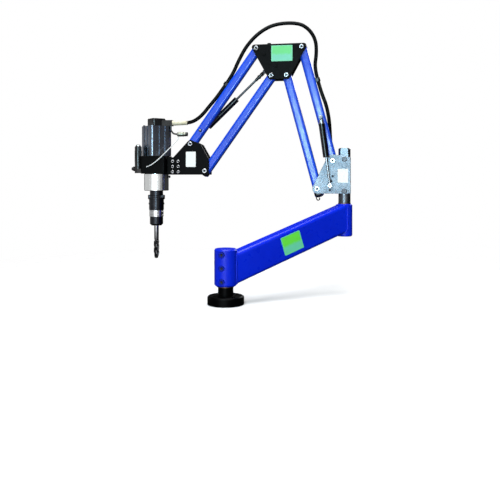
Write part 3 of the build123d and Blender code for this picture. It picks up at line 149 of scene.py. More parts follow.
class NodeSheet:
    """Node tree of one material or world, with short calls for the nodes that its look needs."""

    MIX_SHARE = 0
    MIX_COLOURS = (6, 7)
    MIX_RESULT = 2
    EDGE_SAMPLES = 6
    EDGE_BAND: Pair = (1.0, 0.86)

    def __init__(self, owner: bpy.types.Material | bpy.types.World, shader: str = "BSDF_PRINCIPLED") -> None:
        """Opens the node tree and finds its shader.

        Args:
            owner: the material or world.
            shader: type of its shader node.
        """
        owner.use_nodes = True
        self.owner = owner
        self.tree = owner.node_tree
        self.shader = next(node for node in self.tree.nodes if node.type == shader)

    def feed(self, socket: Socket, value: object) -> None:
        """Links a socket to an output, or sets it to a value.

        Args:
            socket: the input socket.
            value: an output socket or a plain value.
        """
        if isinstance(value, Socket):
            self.tree.links.new(value, socket)
        else:
            socket.default_value = value

    def add(
        self, kind: str, inputs: dict[str | int, object] | None = None, **settings: object
    ) -> bpy.types.Node:
        """Adds a node.

        Args:
            kind: the node's type without its prefix.
            inputs: socket names or numbers, with a value or an output socket for each.
            settings: properties set on the node.

        Returns:
            The new node.
        """
        node = self.tree.nodes.new("ShaderNode" + kind)
        for key, value in settings.items():
            setattr(node, key, value)
        for key, value in (inputs or {}).items():
            self.feed(node.inputs[key], value)
        return node

    def set(self, **sockets: object) -> None:
        """Sets or links sockets of the shader, named with underscores for spaces."""
        for name, value in sockets.items():
            self.feed(self.shader.inputs[name.replace("_", " ")], value)

    def place(self, stretch: Point = (1.0, 1.0, 1.0)) -> Socket:
        """Object coordinates, stretched along the three axes."""
        coordinates = self.add("TexCoord").outputs["Object"]
        return self.add("Mapping", {"Vector": coordinates, "Scale": stretch}).outputs["Vector"]

    def noise(self, place: Socket, scale: float, detail: float = 4.0) -> Socket:
        """Cloudy value from 0 to 1, with features of about one over scale metres."""
        return self.add("TexNoise", {"Vector": place, "Scale": scale, "Detail": detail}).outputs["Fac"]

    def spread(self, value: Socket, band: Pair, to: tuple[object, object]) -> Socket:
        """Value read in a band and spread over another range.

        Args:
            value: the value's socket.
            band: the two ends of the band.
            to: what the two ends become, each a number or a socket.

        Returns:
            The value socket.
        """
        ends = {"From Min": band[0], "From Max": band[1], "To Min": to[0], "To Max": to[1]}
        return self.add("MapRange", {"Value": value, **ends}).outputs["Result"]

    def blend(self, share: Socket, first: Colour | Socket, second: Colour | Socket) -> Socket:
        """Mix of two colours.

        Args:
            share: share of the second one, from 0 to 1.
            first: a colour or a socket.
            second: a colour or a socket.

        Returns:
            The colour socket.
        """
        node = self.add("Mix", data_type="RGBA")
        self.feed(node.inputs[self.MIX_SHARE], share)
        for key, colour in zip(self.MIX_COLOURS, (first, second)):
            self.feed(node.inputs[key], colour if isinstance(colour, Socket) else (*colour, 1.0))
        return node.outputs[self.MIX_RESULT]

    def work_out(self, first: Socket, second: object, mode: str = "ADD") -> Socket:
        """Result of a math node on two values."""
        return self.add("Math", {0: first, 1: second}, operation=mode).outputs[0]

    def edge(self, radius: float) -> Socket:
        """Share from 0 to 1 of how close a point lies to a sharp edge.

        Args:
            radius: reach of the edge band in metres.

        Returns:
            The value socket.
        """
        rounded = self.add("Bevel", {"Radius": radius}, samples=self.EDGE_SAMPLES).outputs["Normal"]
        flat = self.add("NewGeometry").outputs["Normal"]
        dot = self.add("VectorMath", {0: rounded, 1: flat}, operation="DOT_PRODUCT").outputs["Value"]
        return self.spread(dot, self.EDGE_BAND, FULL)

    def bump(self, height: Socket, strength: float, distance: float) -> None:
        """Joins a bump to the shader's normal.

        Args:
            height: the height map's socket.
            strength: how strongly the bump shows.
            distance: depth of the bump in metres.
        """
        node = self.add("Bump", {"Height": height, "Strength": strength, "Distance": distance})
        self.set(Normal=node.outputs["Normal"])


def around(middle: float, spread: Pair) -> Pair:
    """Range from the first of spread under middle to the second of it over middle."""
    return middle - spread[0], middle + spread[1]


@dataclass(frozen=True)
class Finish:
    """Finish that drifts between a colour and a shade of it, and makes its own material."""

    name: str
    colour: Colour
    shade: Colour

    def build(self) -> bpy.types.Material:
        """Makes the material.

        Returns:
            The new material.
        """
        sheet = NodeSheet(bpy.data.materials.new(self.name))
        self.draw(sheet)
        return sheet.owner

    def draw(self, sheet: NodeSheet) -> None:
        """Draws the finish on a bare sheet, each kind in its own way."""
        raise NotImplementedError

    def clouded(self, sheet: NodeSheet, cloud: Socket) -> Socket:
        """Colour that drifts with a cloudy value."""
        return sheet.blend(sheet.spread(cloud, MIDDLE, FULL), self.shade, self.colour)


@dataclass(frozen=True)
class Paint(Finish):
    """Sprayed enamel with orange peel, a faint drift of colour and rubbed edges."""

    rubbed: Colour
    roughness: float = 0.3
    peel: float = 0.05
    coat: float = 0.0
    gloss: float = 0.35
    wear: float = 0.5
    gloss_drift: Pair = (0.06, 0.08)
    coat_roughness: float = 0.08
    edge_reach: float = 0.0012
    cloud_scale: float = 9.0
    peel_scale: float = 150.0
    scuff_scale: float = 140.0
    gloss_scale: float = 60.0
    peel_depth: float = 0.0006

    def draw(self, sheet: NodeSheet) -> None:
        """Draws the enamel."""
        place = sheet.place()
        colour = self.clouded(sheet, sheet.noise(place, self.cloud_scale, detail=3.0))
        worn = sheet.spread(sheet.noise(place, self.scuff_scale), TIGHT, (0.0, self.wear))
        scuff = sheet.work_out(sheet.edge(self.edge_reach), worn, "MULTIPLY")
        drift = sheet.noise(place, self.gloss_scale)
        sheet.set(
            Base_Color=sheet.blend(scuff, colour, self.rubbed),
            Roughness=sheet.spread(drift, WIDE, around(self.roughness, self.gloss_drift)),
            Specular_IOR_Level=self.gloss,
            Coat_Weight=self.coat,
            Coat_Roughness=self.coat_roughness,
        )
        sheet.bump(sheet.noise(place, self.peel_scale, detail=2.0), self.peel, self.peel_depth)


@dataclass(frozen=True)
class Metal(Finish):
    """Bare metal with tool marks that run round or along the piece, and a painted highlight along its sharp
    edges.
    """

    roughness: float = 0.28
    marks: Point = (1.0, 1.0, 30.0)
    depth: float = 0.08
    gloss_drift: Pair = (0.07, 0.09)
    # Reach, share, gain and lift of the painted highlight along sharp edges
    edge_reach: float = 0.0008
    painted_highlight_share: float = 0.5
    painted_highlight_gain: float = 1.25
    painted_highlight_lift: float = 0.04
    streak_scale: float = 90.0
    cloud_scale: float = 30.0
    streak_share: float = 0.6
    cloud_share: float = 0.4
    mark_depth: float = 0.0004

    def draw(self, sheet: NodeSheet) -> None:
        """Draws the metal."""
        streak = sheet.noise(sheet.place(self.marks), self.streak_scale, detail=5.0)
        cloud = sheet.noise(sheet.place(), self.cloud_scale, detail=3.0)
        share = sheet.work_out(
            sheet.spread(streak, MIDDLE, (0.0, self.streak_share)),
            sheet.spread(cloud, TIGHT, (0.0, self.cloud_share)),
        )
        colour = sheet.blend(share, self.shade, self.colour)
        # Sharp edges are mixed towards a brighter copy of the colour: a painted highlight
        bright = tuple(min(1.0, self.painted_highlight_gain * part + self.painted_highlight_lift) for part in self.colour)
        edge = sheet.work_out(sheet.edge(self.edge_reach), self.painted_highlight_share, "MULTIPLY")
        sheet.set(
            Base_Color=sheet.blend(edge, colour, bright),
            Metallic=1.0,
            Roughness=sheet.spread(streak, WIDE, around(self.roughness, self.gloss_drift)),
        )
        sheet.bump(streak, self.depth, self.mark_depth)


@dataclass(frozen=True)
class Galvanised(Finish):
    """Zinc coat with its crystal spangle."""

    roughness: float = 0.36
    spangle: float = 260.0
    stretch: Point = (1.0, 0.2, 1.0)
    metallic: float = 0.3
    gloss_drift: Pair = (0.1, 0.12)
    cloud_scale: float = 26.0
    cloud_share: float = 0.25
    grain_scale: float = 700.0
    grain: float = 0.08
    grain_depth: float = 0.0003

    def draw(self, sheet: NodeSheet) -> None:
        """Draws the zinc."""
        place = sheet.place(self.stretch)
        crystal = sheet.add("TexVoronoi", {"Vector": place, "Scale": self.spangle}).outputs["Color"]
        tone = sheet.add("SeparateColor", {"Color": crystal}).outputs["Red"]
        drift = (-self.cloud_share, self.cloud_share)
        cloud = sheet.spread(sheet.noise(place, self.cloud_scale), MIDDLE, drift)
        share = sheet.spread(sheet.work_out(tone, cloud), FULL, FULL)
        sheet.set(
            Base_Color=sheet.blend(share, self.shade, self.colour),
            Metallic=self.metallic,
            Roughness=sheet.spread(tone, FULL, around(self.roughness, self.gloss_drift)),
        )
        sheet.bump(sheet.noise(place, self.grain_scale, detail=2.0), self.grain, self.grain_depth)


@dataclass(frozen=True)
class Moulded(Finish):
    """Moulded plastic or rubber with a fine skin."""

    roughness: float = 0.45
    grain: float = 900.0
    depth: float = 0.12
    gloss: float = 0.5
    gloss_drift: Pair = (0.06, 0.08)
    cloud_scale: float = 45.0
    grain_depth: float = 0.0003

    def draw(self, sheet: NodeSheet) -> None:
        """Draws the skin."""
        place = sheet.place()
        cloud = sheet.noise(place, self.cloud_scale, detail=3.0)
        sheet.set(
            Base_Color=self.clouded(sheet, cloud),
            Roughness=sheet.spread(cloud, WIDE, around(self.roughness, self.gloss_drift)),
            Specular_IOR_Level=self.gloss,
        )
        sheet.bump(sheet.noise(place, self.grain, detail=2.0), self.depth, self.grain_depth)


@dataclass(frozen=True)
class Print(Finish):
    """Bare label on the plate's own map: a field of the colour over a foot of the shade, and a rim."""

    rim: Colour
    split: float = 0.45
    split_blur: float = 0.08
    split_haze: float = 0.05
    middle: float = 0.5
    border: Pair = (0.44, 0.46)
    haze_scale: float = 160.0
    soil_share: float = 0.12
    soil_tone: float = 0.6
    haze_band: Pair = (0.2, 0.8)
    roughness: Pair = (0.3, 0.45)
    grain_scale: float = 500.0
    grain: float = 0.04
    grain_depth: float = 0.0002

    def draw(self, sheet: NodeSheet) -> None:
        """Draws the label."""
        plate = sheet.add("TexCoord").outputs["UV"]
        parts = sheet.add("SeparateXYZ", {"Vector": plate}).outputs
        haze = sheet.noise(sheet.place(), self.haze_scale)
        ragged = sheet.work_out(parts["Y"], sheet.spread(haze, MIDDLE, (-self.split_haze, self.split_haze)))
        step = sheet.spread(ragged, around(self.split, (self.split_blur, self.split_blur)), FULL)
        rims = []
        for axis in (parts["X"], parts["Y"]):
            from_middle = sheet.work_out(sheet.work_out(axis, self.middle, "SUBTRACT"), 0.0, "ABSOLUTE")
            rims.append(sheet.spread(from_middle, self.border, FULL))
        soil = sheet.spread(haze, WIDE, (0.0, self.soil_share))
        soiled = tuple(self.soil_tone * part for part in self.colour)
        face = sheet.blend(soil, sheet.blend(step, self.shade, self.colour), soiled)
        sheet.set(
            Base_Color=sheet.blend(sheet.work_out(*rims, "MAXIMUM"), face, self.rim),
            Roughness=sheet.spread(haze, self.haze_band, self.roughness),
        )
        sheet.bump(sheet.noise(sheet.place(), self.grain_scale, detail=2.0), self.grain, self.grain_depth)


EVEN_MARKS: Point = (1.0, 1.0, 1.0)

BOOM_BLUE = Paint(
    "boom_blue_enamel", (0.001, 0.023, 0.72), (0.0007, 0.017, 0.62), rubbed=(0.02, 0.06, 0.84),
    peel=0.012, gloss=0.25, wear=0.15,
)
ARM_BLUE = Paint(
    "arm_blue_enamel", (0.01, 0.08, 0.7), (0.007, 0.056, 0.58), rubbed=(0.12, 0.24, 0.9),
    roughness=0.22, peel=0.03, gloss=0.5,
)
BLACK_PAINT = Paint(
    "black_enamel", (0.0009, 0.0009, 0.0011), (0.0006, 0.0006, 0.0007), rubbed=(0.02, 0.02, 0.022),
    roughness=0.42, peel=0.04, gloss=0.06, wear=0.2,
)
BLACK_CAST = Paint(
    "black_cast_base", (0.0008, 0.0008, 0.0008), (0.0005, 0.0005, 0.0005), rubbed=(0.02, 0.02, 0.02),
    roughness=0.34, peel=0.1, gloss=0.06,
)
STRUT_BLACK = Paint(
    "strut_black_enamel", (0.002, 0.002, 0.0024), (0.0012, 0.0012, 0.0014), rubbed=(0.03, 0.03, 0.03),
    roughness=0.18, peel=0.02, coat=0.1, gloss=0.3,
)
PAINTED_SCREW = Paint(
    "painted_screw", (0.001, 0.017, 0.42), (0.0007, 0.012, 0.3), rubbed=(0.01, 0.03, 0.5),
    peel=0.02, gloss=0.3,
)
ZINC = Galvanised("galvanised_zinc", (0.31, 0.365, 0.425), (0.055, 0.076, 0.105))
ANODISED = Metal(
    "black_anodised", (0.2, 0.217, 0.26), (0.167, 0.183, 0.22),
    roughness=0.25, marks=(1.0, 1.0, 0.2), depth=0.008,
)
COLUMN_STEEL = Metal(
    "column_steel", (0.2, 0.22, 0.25), (0.06, 0.07, 0.085),
    roughness=0.34, marks=(1.0, 1.0, 8.0), depth=0.2,
)
SCREW_STEEL = Metal(
    "zinc_screw_steel", (0.5, 0.51, 0.53), (0.32, 0.33, 0.35),
    roughness=0.32, marks=EVEN_MARKS,
)
BLACK_OXIDE = Metal(
    "black_oxide_screw", (0.09, 0.09, 0.1), (0.04, 0.04, 0.045),
    roughness=0.34, marks=EVEN_MARKS,
)
HEAD_SCREW = Metal(
    "worn_head_screw", (0.05, 0.05, 0.055), (0.025, 0.025, 0.028),
    roughness=0.3, marks=EVEN_MARKS,
)
NICKEL = Metal(
    "nickel_sleeve", (0.42, 0.44, 0.37), (0.2, 0.21, 0.17),
    roughness=0.3, marks=(30.0, 1.0, 1.0),
)
BRONZE = Metal(
    "oiled_bronze", (0.2, 0.13, 0.065), (0.11, 0.07, 0.035),
    roughness=0.34, marks=(1.0, 1.0, 20.0),
)
COLLAR_ALUMINIUM = Metal(
    "turned_aluminium", (0.9, 0.92, 0.92), (0.76, 0.78, 0.78),
    roughness=0.17, marks=(1.0, 1.0, 40.0), depth=0.04,
)
GROUND_STEEL = Metal("ground_steel", (0.72, 0.73, 0.75), (0.5, 0.51, 0.53), roughness=0.2)
TAP_STEEL = Metal(
    "tool_steel", (0.12, 0.12, 0.125), (0.04, 0.04, 0.043),
    roughness=0.2, marks=(1.0, 1.0, 25.0),
)
CHUCK_BLACK = Metal(
    "blackened_chuck", (0.042, 0.045, 0.053), (0.019, 0.02, 0.024),
    roughness=0.2, marks=(1.0, 1.0, 35.0), depth=0.04,
)
DARK_ROD = Metal(
    "oiled_rod", (0.06, 0.06, 0.066), (0.03, 0.03, 0.034),
    roughness=0.2, marks=(1.0, 1.0, 12.0), depth=0.03,
)
CHROME_ROD = Metal(
    "chromed_rod", (0.34, 0.35, 0.37), (0.22, 0.23, 0.245),
    roughness=0.14, marks=(1.0, 1.0, 12.0), depth=0.03,
)
# Near-black finish of the discs set into screw sockets: painted shade for the depth of the sockets
PAINTED_SOCKET_SHADE = Moulded("painted_socket_shade", (0.006, 0.006, 0.007), (0.003, 0.003, 0.0035), roughness=0.6)
BLACK_PLASTIC = Moulded(
    "black_moulding", (0.005, 0.005, 0.0055), (0.003, 0.003, 0.0034),
    roughness=0.24, depth=0.03,
)
GRIP_RUBBER = Moulded(
    "grip_rubber", (0.006, 0.006, 0.0065), (0.003, 0.003, 0.0034),
    roughness=0.22, grain=1400.0, depth=0.04,
)
CABLE_SHEATH = Moulded(
    "cable_sheath", (0.0016, 0.0016, 0.0018), (0.001, 0.001, 0.0012),
    roughness=0.3, grain=1600.0, depth=0.06, gloss=0.08,
)
WIRE_SHEATH = Moulded(
    "wire_sheath", (0.85, 0.85, 0.83), (0.72, 0.72, 0.7),
    roughness=0.4, grain=1600.0, depth=0.05,
)
CREAM_PLASTIC = Moulded("cream_moulding", (0.74, 0.68, 0.5), (0.58, 0.52, 0.36), roughness=0.4)
BUTTON_CAP = Moulded("button_cap", (0.011, 0.011, 0.012), (0.006, 0.006, 0.007), roughness=0.25)
GREEN_PRINT = Print("green_label_print", (0.11, 0.6, 0.175), (0.15, 0.56, 0.38), rim=(0.16, 0.58, 0.32))
LIME_PRINT = Print("lime_label_print", (0.17, 0.86, 0.065), (0.17, 0.72, 0.44), rim=(0.17, 0.78, 0.3))
WHITE_PRINT = Print("white_label_print", (0.9, 0.88, 0.83), (0.9, 0.89, 0.86), rim=(0.84, 0.82, 0.77))

NODE_FINISHES: dict[Finish, tuple[str, ...]] = {
    BLACK_CAST: ("base_flange", "base_post"),
    BOOM_BLUE: ("boom_tube", "boom_base_boss", "boom_column_boss"),
    ARM_BLUE: ("rear_outer_arm", "rear_inner_arm", "front_outer_arm", "front_inner_arm"),
    BLACK_PAINT: (
        "elbow_front_plate",
        "elbow_rear_plate",
        "head_front_plate",
        "head_rear_plate",
        "elbow_spacers",
        "gear_housing",
    ),
    ZINC: ("bracket_front_plate", "bracket_rear_plate"),
    COLUMN_STEEL: ("column_post",),
    SCREW_STEEL: ("shoulder_pins", "elbow_pins", "head_pins"),
    PAINTED_SCREW: ("boom_lock_screws",),
    BLACK_OXIDE: ("bracket_bolts", "base_retaining_screw", "column_retaining_screw"),
    HEAD_SCREW: ("head_screws",),
    BRONZE: ("swivel_bushes", "shoulder_bushes", "elbow_bushes", "head_bushes"),
    COLLAR_ALUMINIUM: ("bearing_collar",),
    GROUND_STEEL: (
        "spindle",
        "tap_adapter",
        "motor_rotor",
        "planet_gear_a",
        "planet_gear_b",
        "planet_gear_c",
        "spindle_bearings",
    ),
    ANODISED: ("motor_body",),
    CHUCK_BLACK: ("chuck_body", "adapter_nut"),
    STRUT_BLACK: ("rear_strut_cylinder", "front_strut_cylinder"),
    CHROME_ROD: ("rear_strut_rod",),
    DARK_ROD: ("front_strut_rod",),
    BLACK_PLASTIC: ("encoder_cap", "grip", "cable_gland", "rear_cable_clip", "front_cable_clip"),
    BUTTON_CAP: ("start_button", "reverse_button"),
}


class FinishShelf:
    """Materials made so far, one for each finish."""

    def __init__(self) -> None:
        """Starts with no material."""
        self.made: dict[Finish, bpy.types.Material] = {}

    def get(self, finish: Finish) -> bpy.types.Material:
        """The finish's material, made at its first use.

        Args:
            finish: one of the finishes of this file.

        Returns:
            Its material.
        """
        if finish not in self.made:
            self.made[finish] = finish.build()
        return self.made[finish]

    def dress(self, obj: Piece, finish: Finish) -> None:
        """Gives an object one finish all over.

        Args:
            obj: the object to dress.
            finish: its finish.
        """
        material = self.get(finish)
        if not obj.material_slots:
            obj.data.materials.append(material)
        for slot in obj.material_slots:
            slot.link = "OBJECT"
            slot.material = material


SHELF = FinishShelf()


def dress_nodes() -> None:
    """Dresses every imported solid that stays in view."""
    for finish, nodes in NODE_FINISHES.items():
        for node in nodes:
            SHELF.dress(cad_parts[node], finish)
            log.info("dressed %s", node)


# Bench work

# How close a face lies to the end it belongs to, and how far an upright edge climbs at least, in metres
FACE_TOLERANCE = 1e-5
UPRIGHT_RISE = 1e-4
# Points of a turned piece that lie closer than this many millimetres are one point
MERGE_GAP = 0.02
# Turn of a weld bead's swelling from one ring to the next, in radians
RIPPLE_TURN = 1.9
# Edges of pieces sharper than this many degrees stay sharp: plain ones, ridged ones and tubes
CREASE = 35.0
RIDGE_CREASE = 30.0
TUBE_CREASE = 50.0
# Steps of a spin that makes a hexagon
HEXAGON = 6


@dataclass(frozen=True)
class Look:
    """What a loose piece moves with, what it is finished in and the record's slot that it belongs to."""

    body: Body
    finish: Finish
    slot: Slot


def clear_selection() -> None:
    """Leaves edit mode and deselects everything."""
    if bpy.context.mode != "OBJECT":
        leave_edit()
    bpy.ops.object.select_all(action="DESELECT")


def leave_edit() -> None:
    """Goes back to object mode."""
    bpy.ops.object.mode_set(mode="OBJECT")


def make_active(obj: Piece) -> None:
    """Selects one object alone and makes it active."""
    clear_selection()
    obj.select_set(True)
    bpy.context.view_layer.objects.active = obj


def settle(obj: Piece, name: str) -> Piece:
    """Names an object and moves its place, turn and scale into its mesh.

    Args:
        obj: the new object.
        name: its name.

    Returns:
        The same object.
    """
    obj.name = name
    obj.data.name = name
    make_active(obj)
    bpy.ops.object.transform_apply(location=True, rotation=True, scale=True)
    return obj


def join(pieces: list[Piece], name: str) -> Piece:
    """Joins several pieces into one object.

    Args:
        pieces: the pieces, the first of which takes up the rest.
        name: name of the whole.

    Returns:
        The joined object.
    """
    clear_selection()
    for piece in pieces:
        piece.select_set(True)
    bpy.context.view_layer.objects.active = pieces[0]
    bpy.ops.object.join()
    return settle(pieces[0], name)


def apply_all(obj: Piece) -> None:
    """Applies an object's modifiers in order."""
    make_active(obj)
    for modifier in list(obj.modifiers):
        bpy.ops.object.modifier_apply(modifier=modifier.name)


def round_edges(obj: Piece, width: float, segments: int = 3, angle: float = 35.0) -> None:
    """Bevels the sharp edges of an object.

    Args:
        obj: the object.
        width: width of the bevel in millimetres.
        segments: steps of the bevel.
        angle: edges sharper than this many degrees are bevelled.
    """
    bevel = obj.modifiers.new("edges", "BEVEL")
    bevel.width = width * MM
    bevel.segments = segments
    bevel.limit_method = "ANGLE"
    bevel.angle_limit = math.radians(angle)
    apply_all(obj)


def smooth(obj: Piece, angle: float = 40.0) -> None:
    """Shades an object smooth but for edges sharper than angle degrees."""
    make_active(obj)
    bpy.ops.object.shade_smooth_by_angle(angle=math.radians(angle))


def edit_faces(obj: Piece, chosen: Callable[[bpy.types.MeshPolygon], bool]) -> None:
    """Opens an object in edit mode with some of its faces selected.

    Args:
        obj: the object.
        chosen: says of a face whether it is selected.
    """
    make_active(obj)
    mesh = obj.data
    for items in (mesh.vertices, mesh.edges, mesh.polygons):
        items.foreach_set("select", [False] * len(items))
    for face in mesh.polygons:
        face.select = chosen(face)
    bpy.context.tool_settings.mesh_select_mode = (False, False, True)
    bpy.ops.object.mode_set(mode="EDIT")


def block(name: str, size: Point, place: Vector) -> Piece:
    """Box that is ready to be shaped.

    Args:
        name: its name.
        size: its sides in millimetres.
        place: its middle in metres.

    Returns:
        The box, with its place in its mesh.
    """
    clear_selection()
    bpy.ops.mesh.primitive_cube_add(size=1.0, location=place)
    obj = bpy.context.object
    obj.scale = Vector(size) * MM
    return settle(obj, name)


def raise_end(obj: Piece, inset: float, rise: float) -> None:
    """Insets the top face of an object, or its bottom face, and moves it out.

    Args:
        obj: the object.
        inset: width of the inset in millimetres.
        rise: how far the face moves in millimetres; the bottom face is meant where this is negative.
    """
    heights = [vertex.co.z for vertex in obj.data.vertices]
    end = max(heights) if rise > 0.0 else min(heights)
    edit_faces(obj, lambda face: abs(face.center.z - end) < FACE_TOLERANCE)
    bpy.ops.mesh.inset(thickness=inset * MM)
    bpy.ops.transform.translate(value=(0.0, 0.0, rise * MM))
    leave_edit()


def turned(name: str, profile: Profile, place: Vector, axis: Vector, steps: int) -> Piece:
    """Turned piece: a profile of radius and height, extruded point by point and spun about its axis.

    Args:
        name: the piece's name.
        profile: radius and height of each point in millimetres, from one end to the other.
        place: where the profile's zero height lies, in metres.
        axis: direction of growing height.
        steps: steps of the spin.

    Returns:
        The finished mesh object, with its place in its mesh.
    """
    clear_selection()
    bpy.ops.mesh.primitive_plane_add(size=MM, location=ORIGIN)
    obj = bpy.context.object
    bpy.ops.object.mode_set(mode="EDIT")
    bpy.context.tool_settings.mesh_select_mode = (True, False, False)
    bpy.ops.mesh.select_all(action="SELECT")
    bpy.ops.mesh.merge(type="CENTER")
    here = Vector((profile[0][0], 0.0, profile[0][1])) * MM
    bpy.ops.transform.translate(value=here)
    for radius, height in profile[1:]:
        there = Vector((radius, 0.0, height)) * MM
        bpy.ops.mesh.extrude_region_move(TRANSFORM_OT_translate={"value": there - here})
        here = there
    bpy.ops.mesh.select_all(action="SELECT")
    bpy.ops.mesh.spin(steps=steps, angle=math.tau, center=ORIGIN, axis=UP)
    bpy.ops.mesh.select_all(action="SELECT")
    bpy.ops.mesh.remove_doubles(threshold=MERGE_GAP * MM)
    bpy.ops.mesh.normals_make_consistent(inside=False)
    leave_edit()
    turn = UP.rotation_difference(axis).to_matrix().to_4x4()
    obj.matrix_world = Matrix.Translation(place) @ turn
    return settle(obj, name)


def disc(radius: float, rim: Profile, crown: float) -> list[Pair]:
    """Profile of a closed disc.

    Args:
        radius: its radius.
        rim: points of its rim from below, each as a distance out from the radius and a height.
        crown: height of its middle on top.

    Returns:
        The profile's points.
    """
    return [(0.0, rim[0][1]), *((radius + out, height) for out, height in rim), (0.0, crown)]


def ribs(count: int, first: float, pitch: float, shape: Profile, taper: float = 0.0) -> list[Pair]:
    """Stretch of a profile with a row of ribs or grooves.

    Args:
        count: how many there are.
        first: height at which the first one starts.
        pitch: height from one to the next.
        shape: radius and height of the points of one, from its start.
        taper: how much the radius shrinks from one to the next.

    Returns:
        The profile's points.
    """
    starts = [(rib, first + pitch * rib) for rib in range(count)]
    return [(radius - taper * rib, start + height) for rib, start in starts for radius, height in shape]


def tube_along(
    name: str,
    line: Sequence[Vector],
    radius: float,
    sides: int,
    closed: bool = False,
    ripple: float = 0.0,
) -> Piece:
    """Round tube whose rings follow a line without twisting.

    Args:
        name: the tube's name.
        line: points of its middle in metres.
        radius: its radius in millimetres.
        sides: corners of each ring.
        closed: whether the line ends where it starts.
        ripple: share of the radius that swells and shrinks along the tube.

    Returns:
        The tube's mesh object.
    """
    count = len(line)
    vertices: list[Vector] = []
    ahead = (line[1] - line[0]).normalized()
    side = ahead.orthogonal().normalized()
    for index, centre in enumerate(line):
        before = line[index - 1] if closed or index else centre
        after = line[(index + 1) % count] if closed or index + 1 < count else centre
        tangent = (after - before).normalized()
        side = ahead.rotation_difference(tangent) @ side
        ahead = tangent
        other = tangent.cross(side)
        reach = radius * MM * (1.0 + ripple * math.sin(index * RIPPLE_TURN))
        for step in range(sides):
            angle = math.tau * step / sides
            vertices.append(centre + reach * (math.cos(angle) * side + math.sin(angle) * other))
    faces: list[tuple[int, ...]] = []
    for ring in range(count if closed else count - 1):
        low, high = ring * sides, (ring + 1) % count * sides
        for step in range(sides):
            follow = (step + 1) % sides
            faces.append((low + step, low + follow, high + follow, high + step))
    if not closed:
        faces.append(tuple(reversed(range(sides))))
        faces.append(tuple(range(len(vertices) - sides, len(vertices))))
    mesh = bpy.data.meshes.new(name)
    mesh.from_pydata(vertices, [], faces)
    mesh.update()
    obj = bpy.data.objects.new(name, mesh)
    bpy.context.scene.collection.objects.link(obj)
    smooth(obj, TUBE_CREASE)
    return obj


def ride(obj: Piece, look: Look) -> Piece:
    """Dresses a finished piece and lets it ride on its body.

    Args:
        obj: the piece.
        look: its body, finish and slot.

    Returns:
        The same object.
    """
    SHELF.dress(obj, look.finish)
    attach(obj, look.body.value)
    log.info("made %s, %d faces", obj.name, len(obj.data.polygons))
    return obj


def turn_piece(
    name: str,
    profile: Profile,
    place: Vector,
    axis: Vector,
    look: Look,
    steps: int = 40,
    crease: float = CREASE,
) -> Piece:
    """Turned piece, smoothed and set on its body.

    Args:
        name: the piece's name.
        profile: radius and height of each point in millimetres, from one end to the other.
        place: where the profile's zero height lies, in metres.
        axis: direction of growing height.
        look: its body, finish and slot.
        steps: steps of the spin.
        crease: edges sharper than this many degrees stay sharp.

    Returns:
        The piece.
    """
    obj = turned(name, profile, place, axis, steps)
    smooth(obj, crease)
    return ride(obj, look)


def turn_set(
    name: str, profile: Profile, places: Iterable[Vector], axis: Vector, look: Look, steps: int
) -> Piece:
    """Several like turned pieces that ride together as one.

    Args:
        name: name of the whole.
        profile: radius and height of each point in millimetres, from one end to the other.
        places: where the profile's zero height lies in each, in metres.
        axis: direction of growing height.
        look: their body, finish and slot.
        steps: steps of the spin.

    Returns:
        The joined piece.
    """
    made = [turned(f"{name}_{count}", profile, place, axis, steps) for count, place in enumerate(places)]
    whole = join(made, name)
    smooth(whole, CREASE)
    return ride(whole, look)


# Cables


@dataclass(frozen=True)
class CableRun:
    """One free stretch of cable between two of its holds, with a route of reach, depth and height."""

    name: str
    node: str
    route: tuple[Point, ...]
    bodies: tuple[Body, ...]
    diameter: float = 12.5
    finish: Finish = CABLE_SHEATH
    slot: Slot = Slot.CABLE_RUBBER
    lay: Lay = Lay.LOOSE
    sides: int = 20
    held: float = 0.0
    curve_order: int = 3
    curve_steps: int = 14

    def centre_line(self) -> list[Vector]:
        """Points of the smooth line that the route's points control.

        Returns:
            Points in metres from the first hold to the last.
        """
        curve = bpy.data.curves.new(self.name + "_line", "CURVE")
        curve.dimensions = "3D"
        curve.resolution_u = self.curve_steps
        spline = curve.splines.new("NURBS")
        spline.points.add(len(self.route) - 1)
        for target, (reach, depth, height) in zip(spline.points, self.route):
            target.co = (*LINKS.point(reach, height, depth), 1.0)
        spline.order_u = self.curve_order
        spline.use_endpoint_u = True
        holder = bpy.data.objects.new(self.name + "_line", curve)
        bpy.context.scene.collection.objects.link(holder)
        bpy.context.view_layer.update()
        mesh = bpy.data.meshes.new_from_object(holder)
        line = [vertex.co.copy() for vertex in mesh.vertices]
        bpy.data.objects.remove(holder)
        bpy.data.meshes.remove(mesh)
        bpy.data.curves.remove(curve)
        return line

    def build(self) -> None:
        line = self.centre_line()
        obj = tube_along(self.name, line, self.diameter / 2, self.sides)
        SHELF.dress(obj, self.finish)
        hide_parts(self.node)
        if len(self.bodies) == 2:
            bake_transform(obj)
        else:
            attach(obj, self.bodies[0].value)


# Places where two stretches of the main cable meet, as reach, depth and height
FRONT_CLIP: Point = (402.92, 0, 698.55)
ELBOW_CREST: Point = (191.7, 0, 899.4)
REAR_CLIP: Point = (88.659, 0, 705.202)

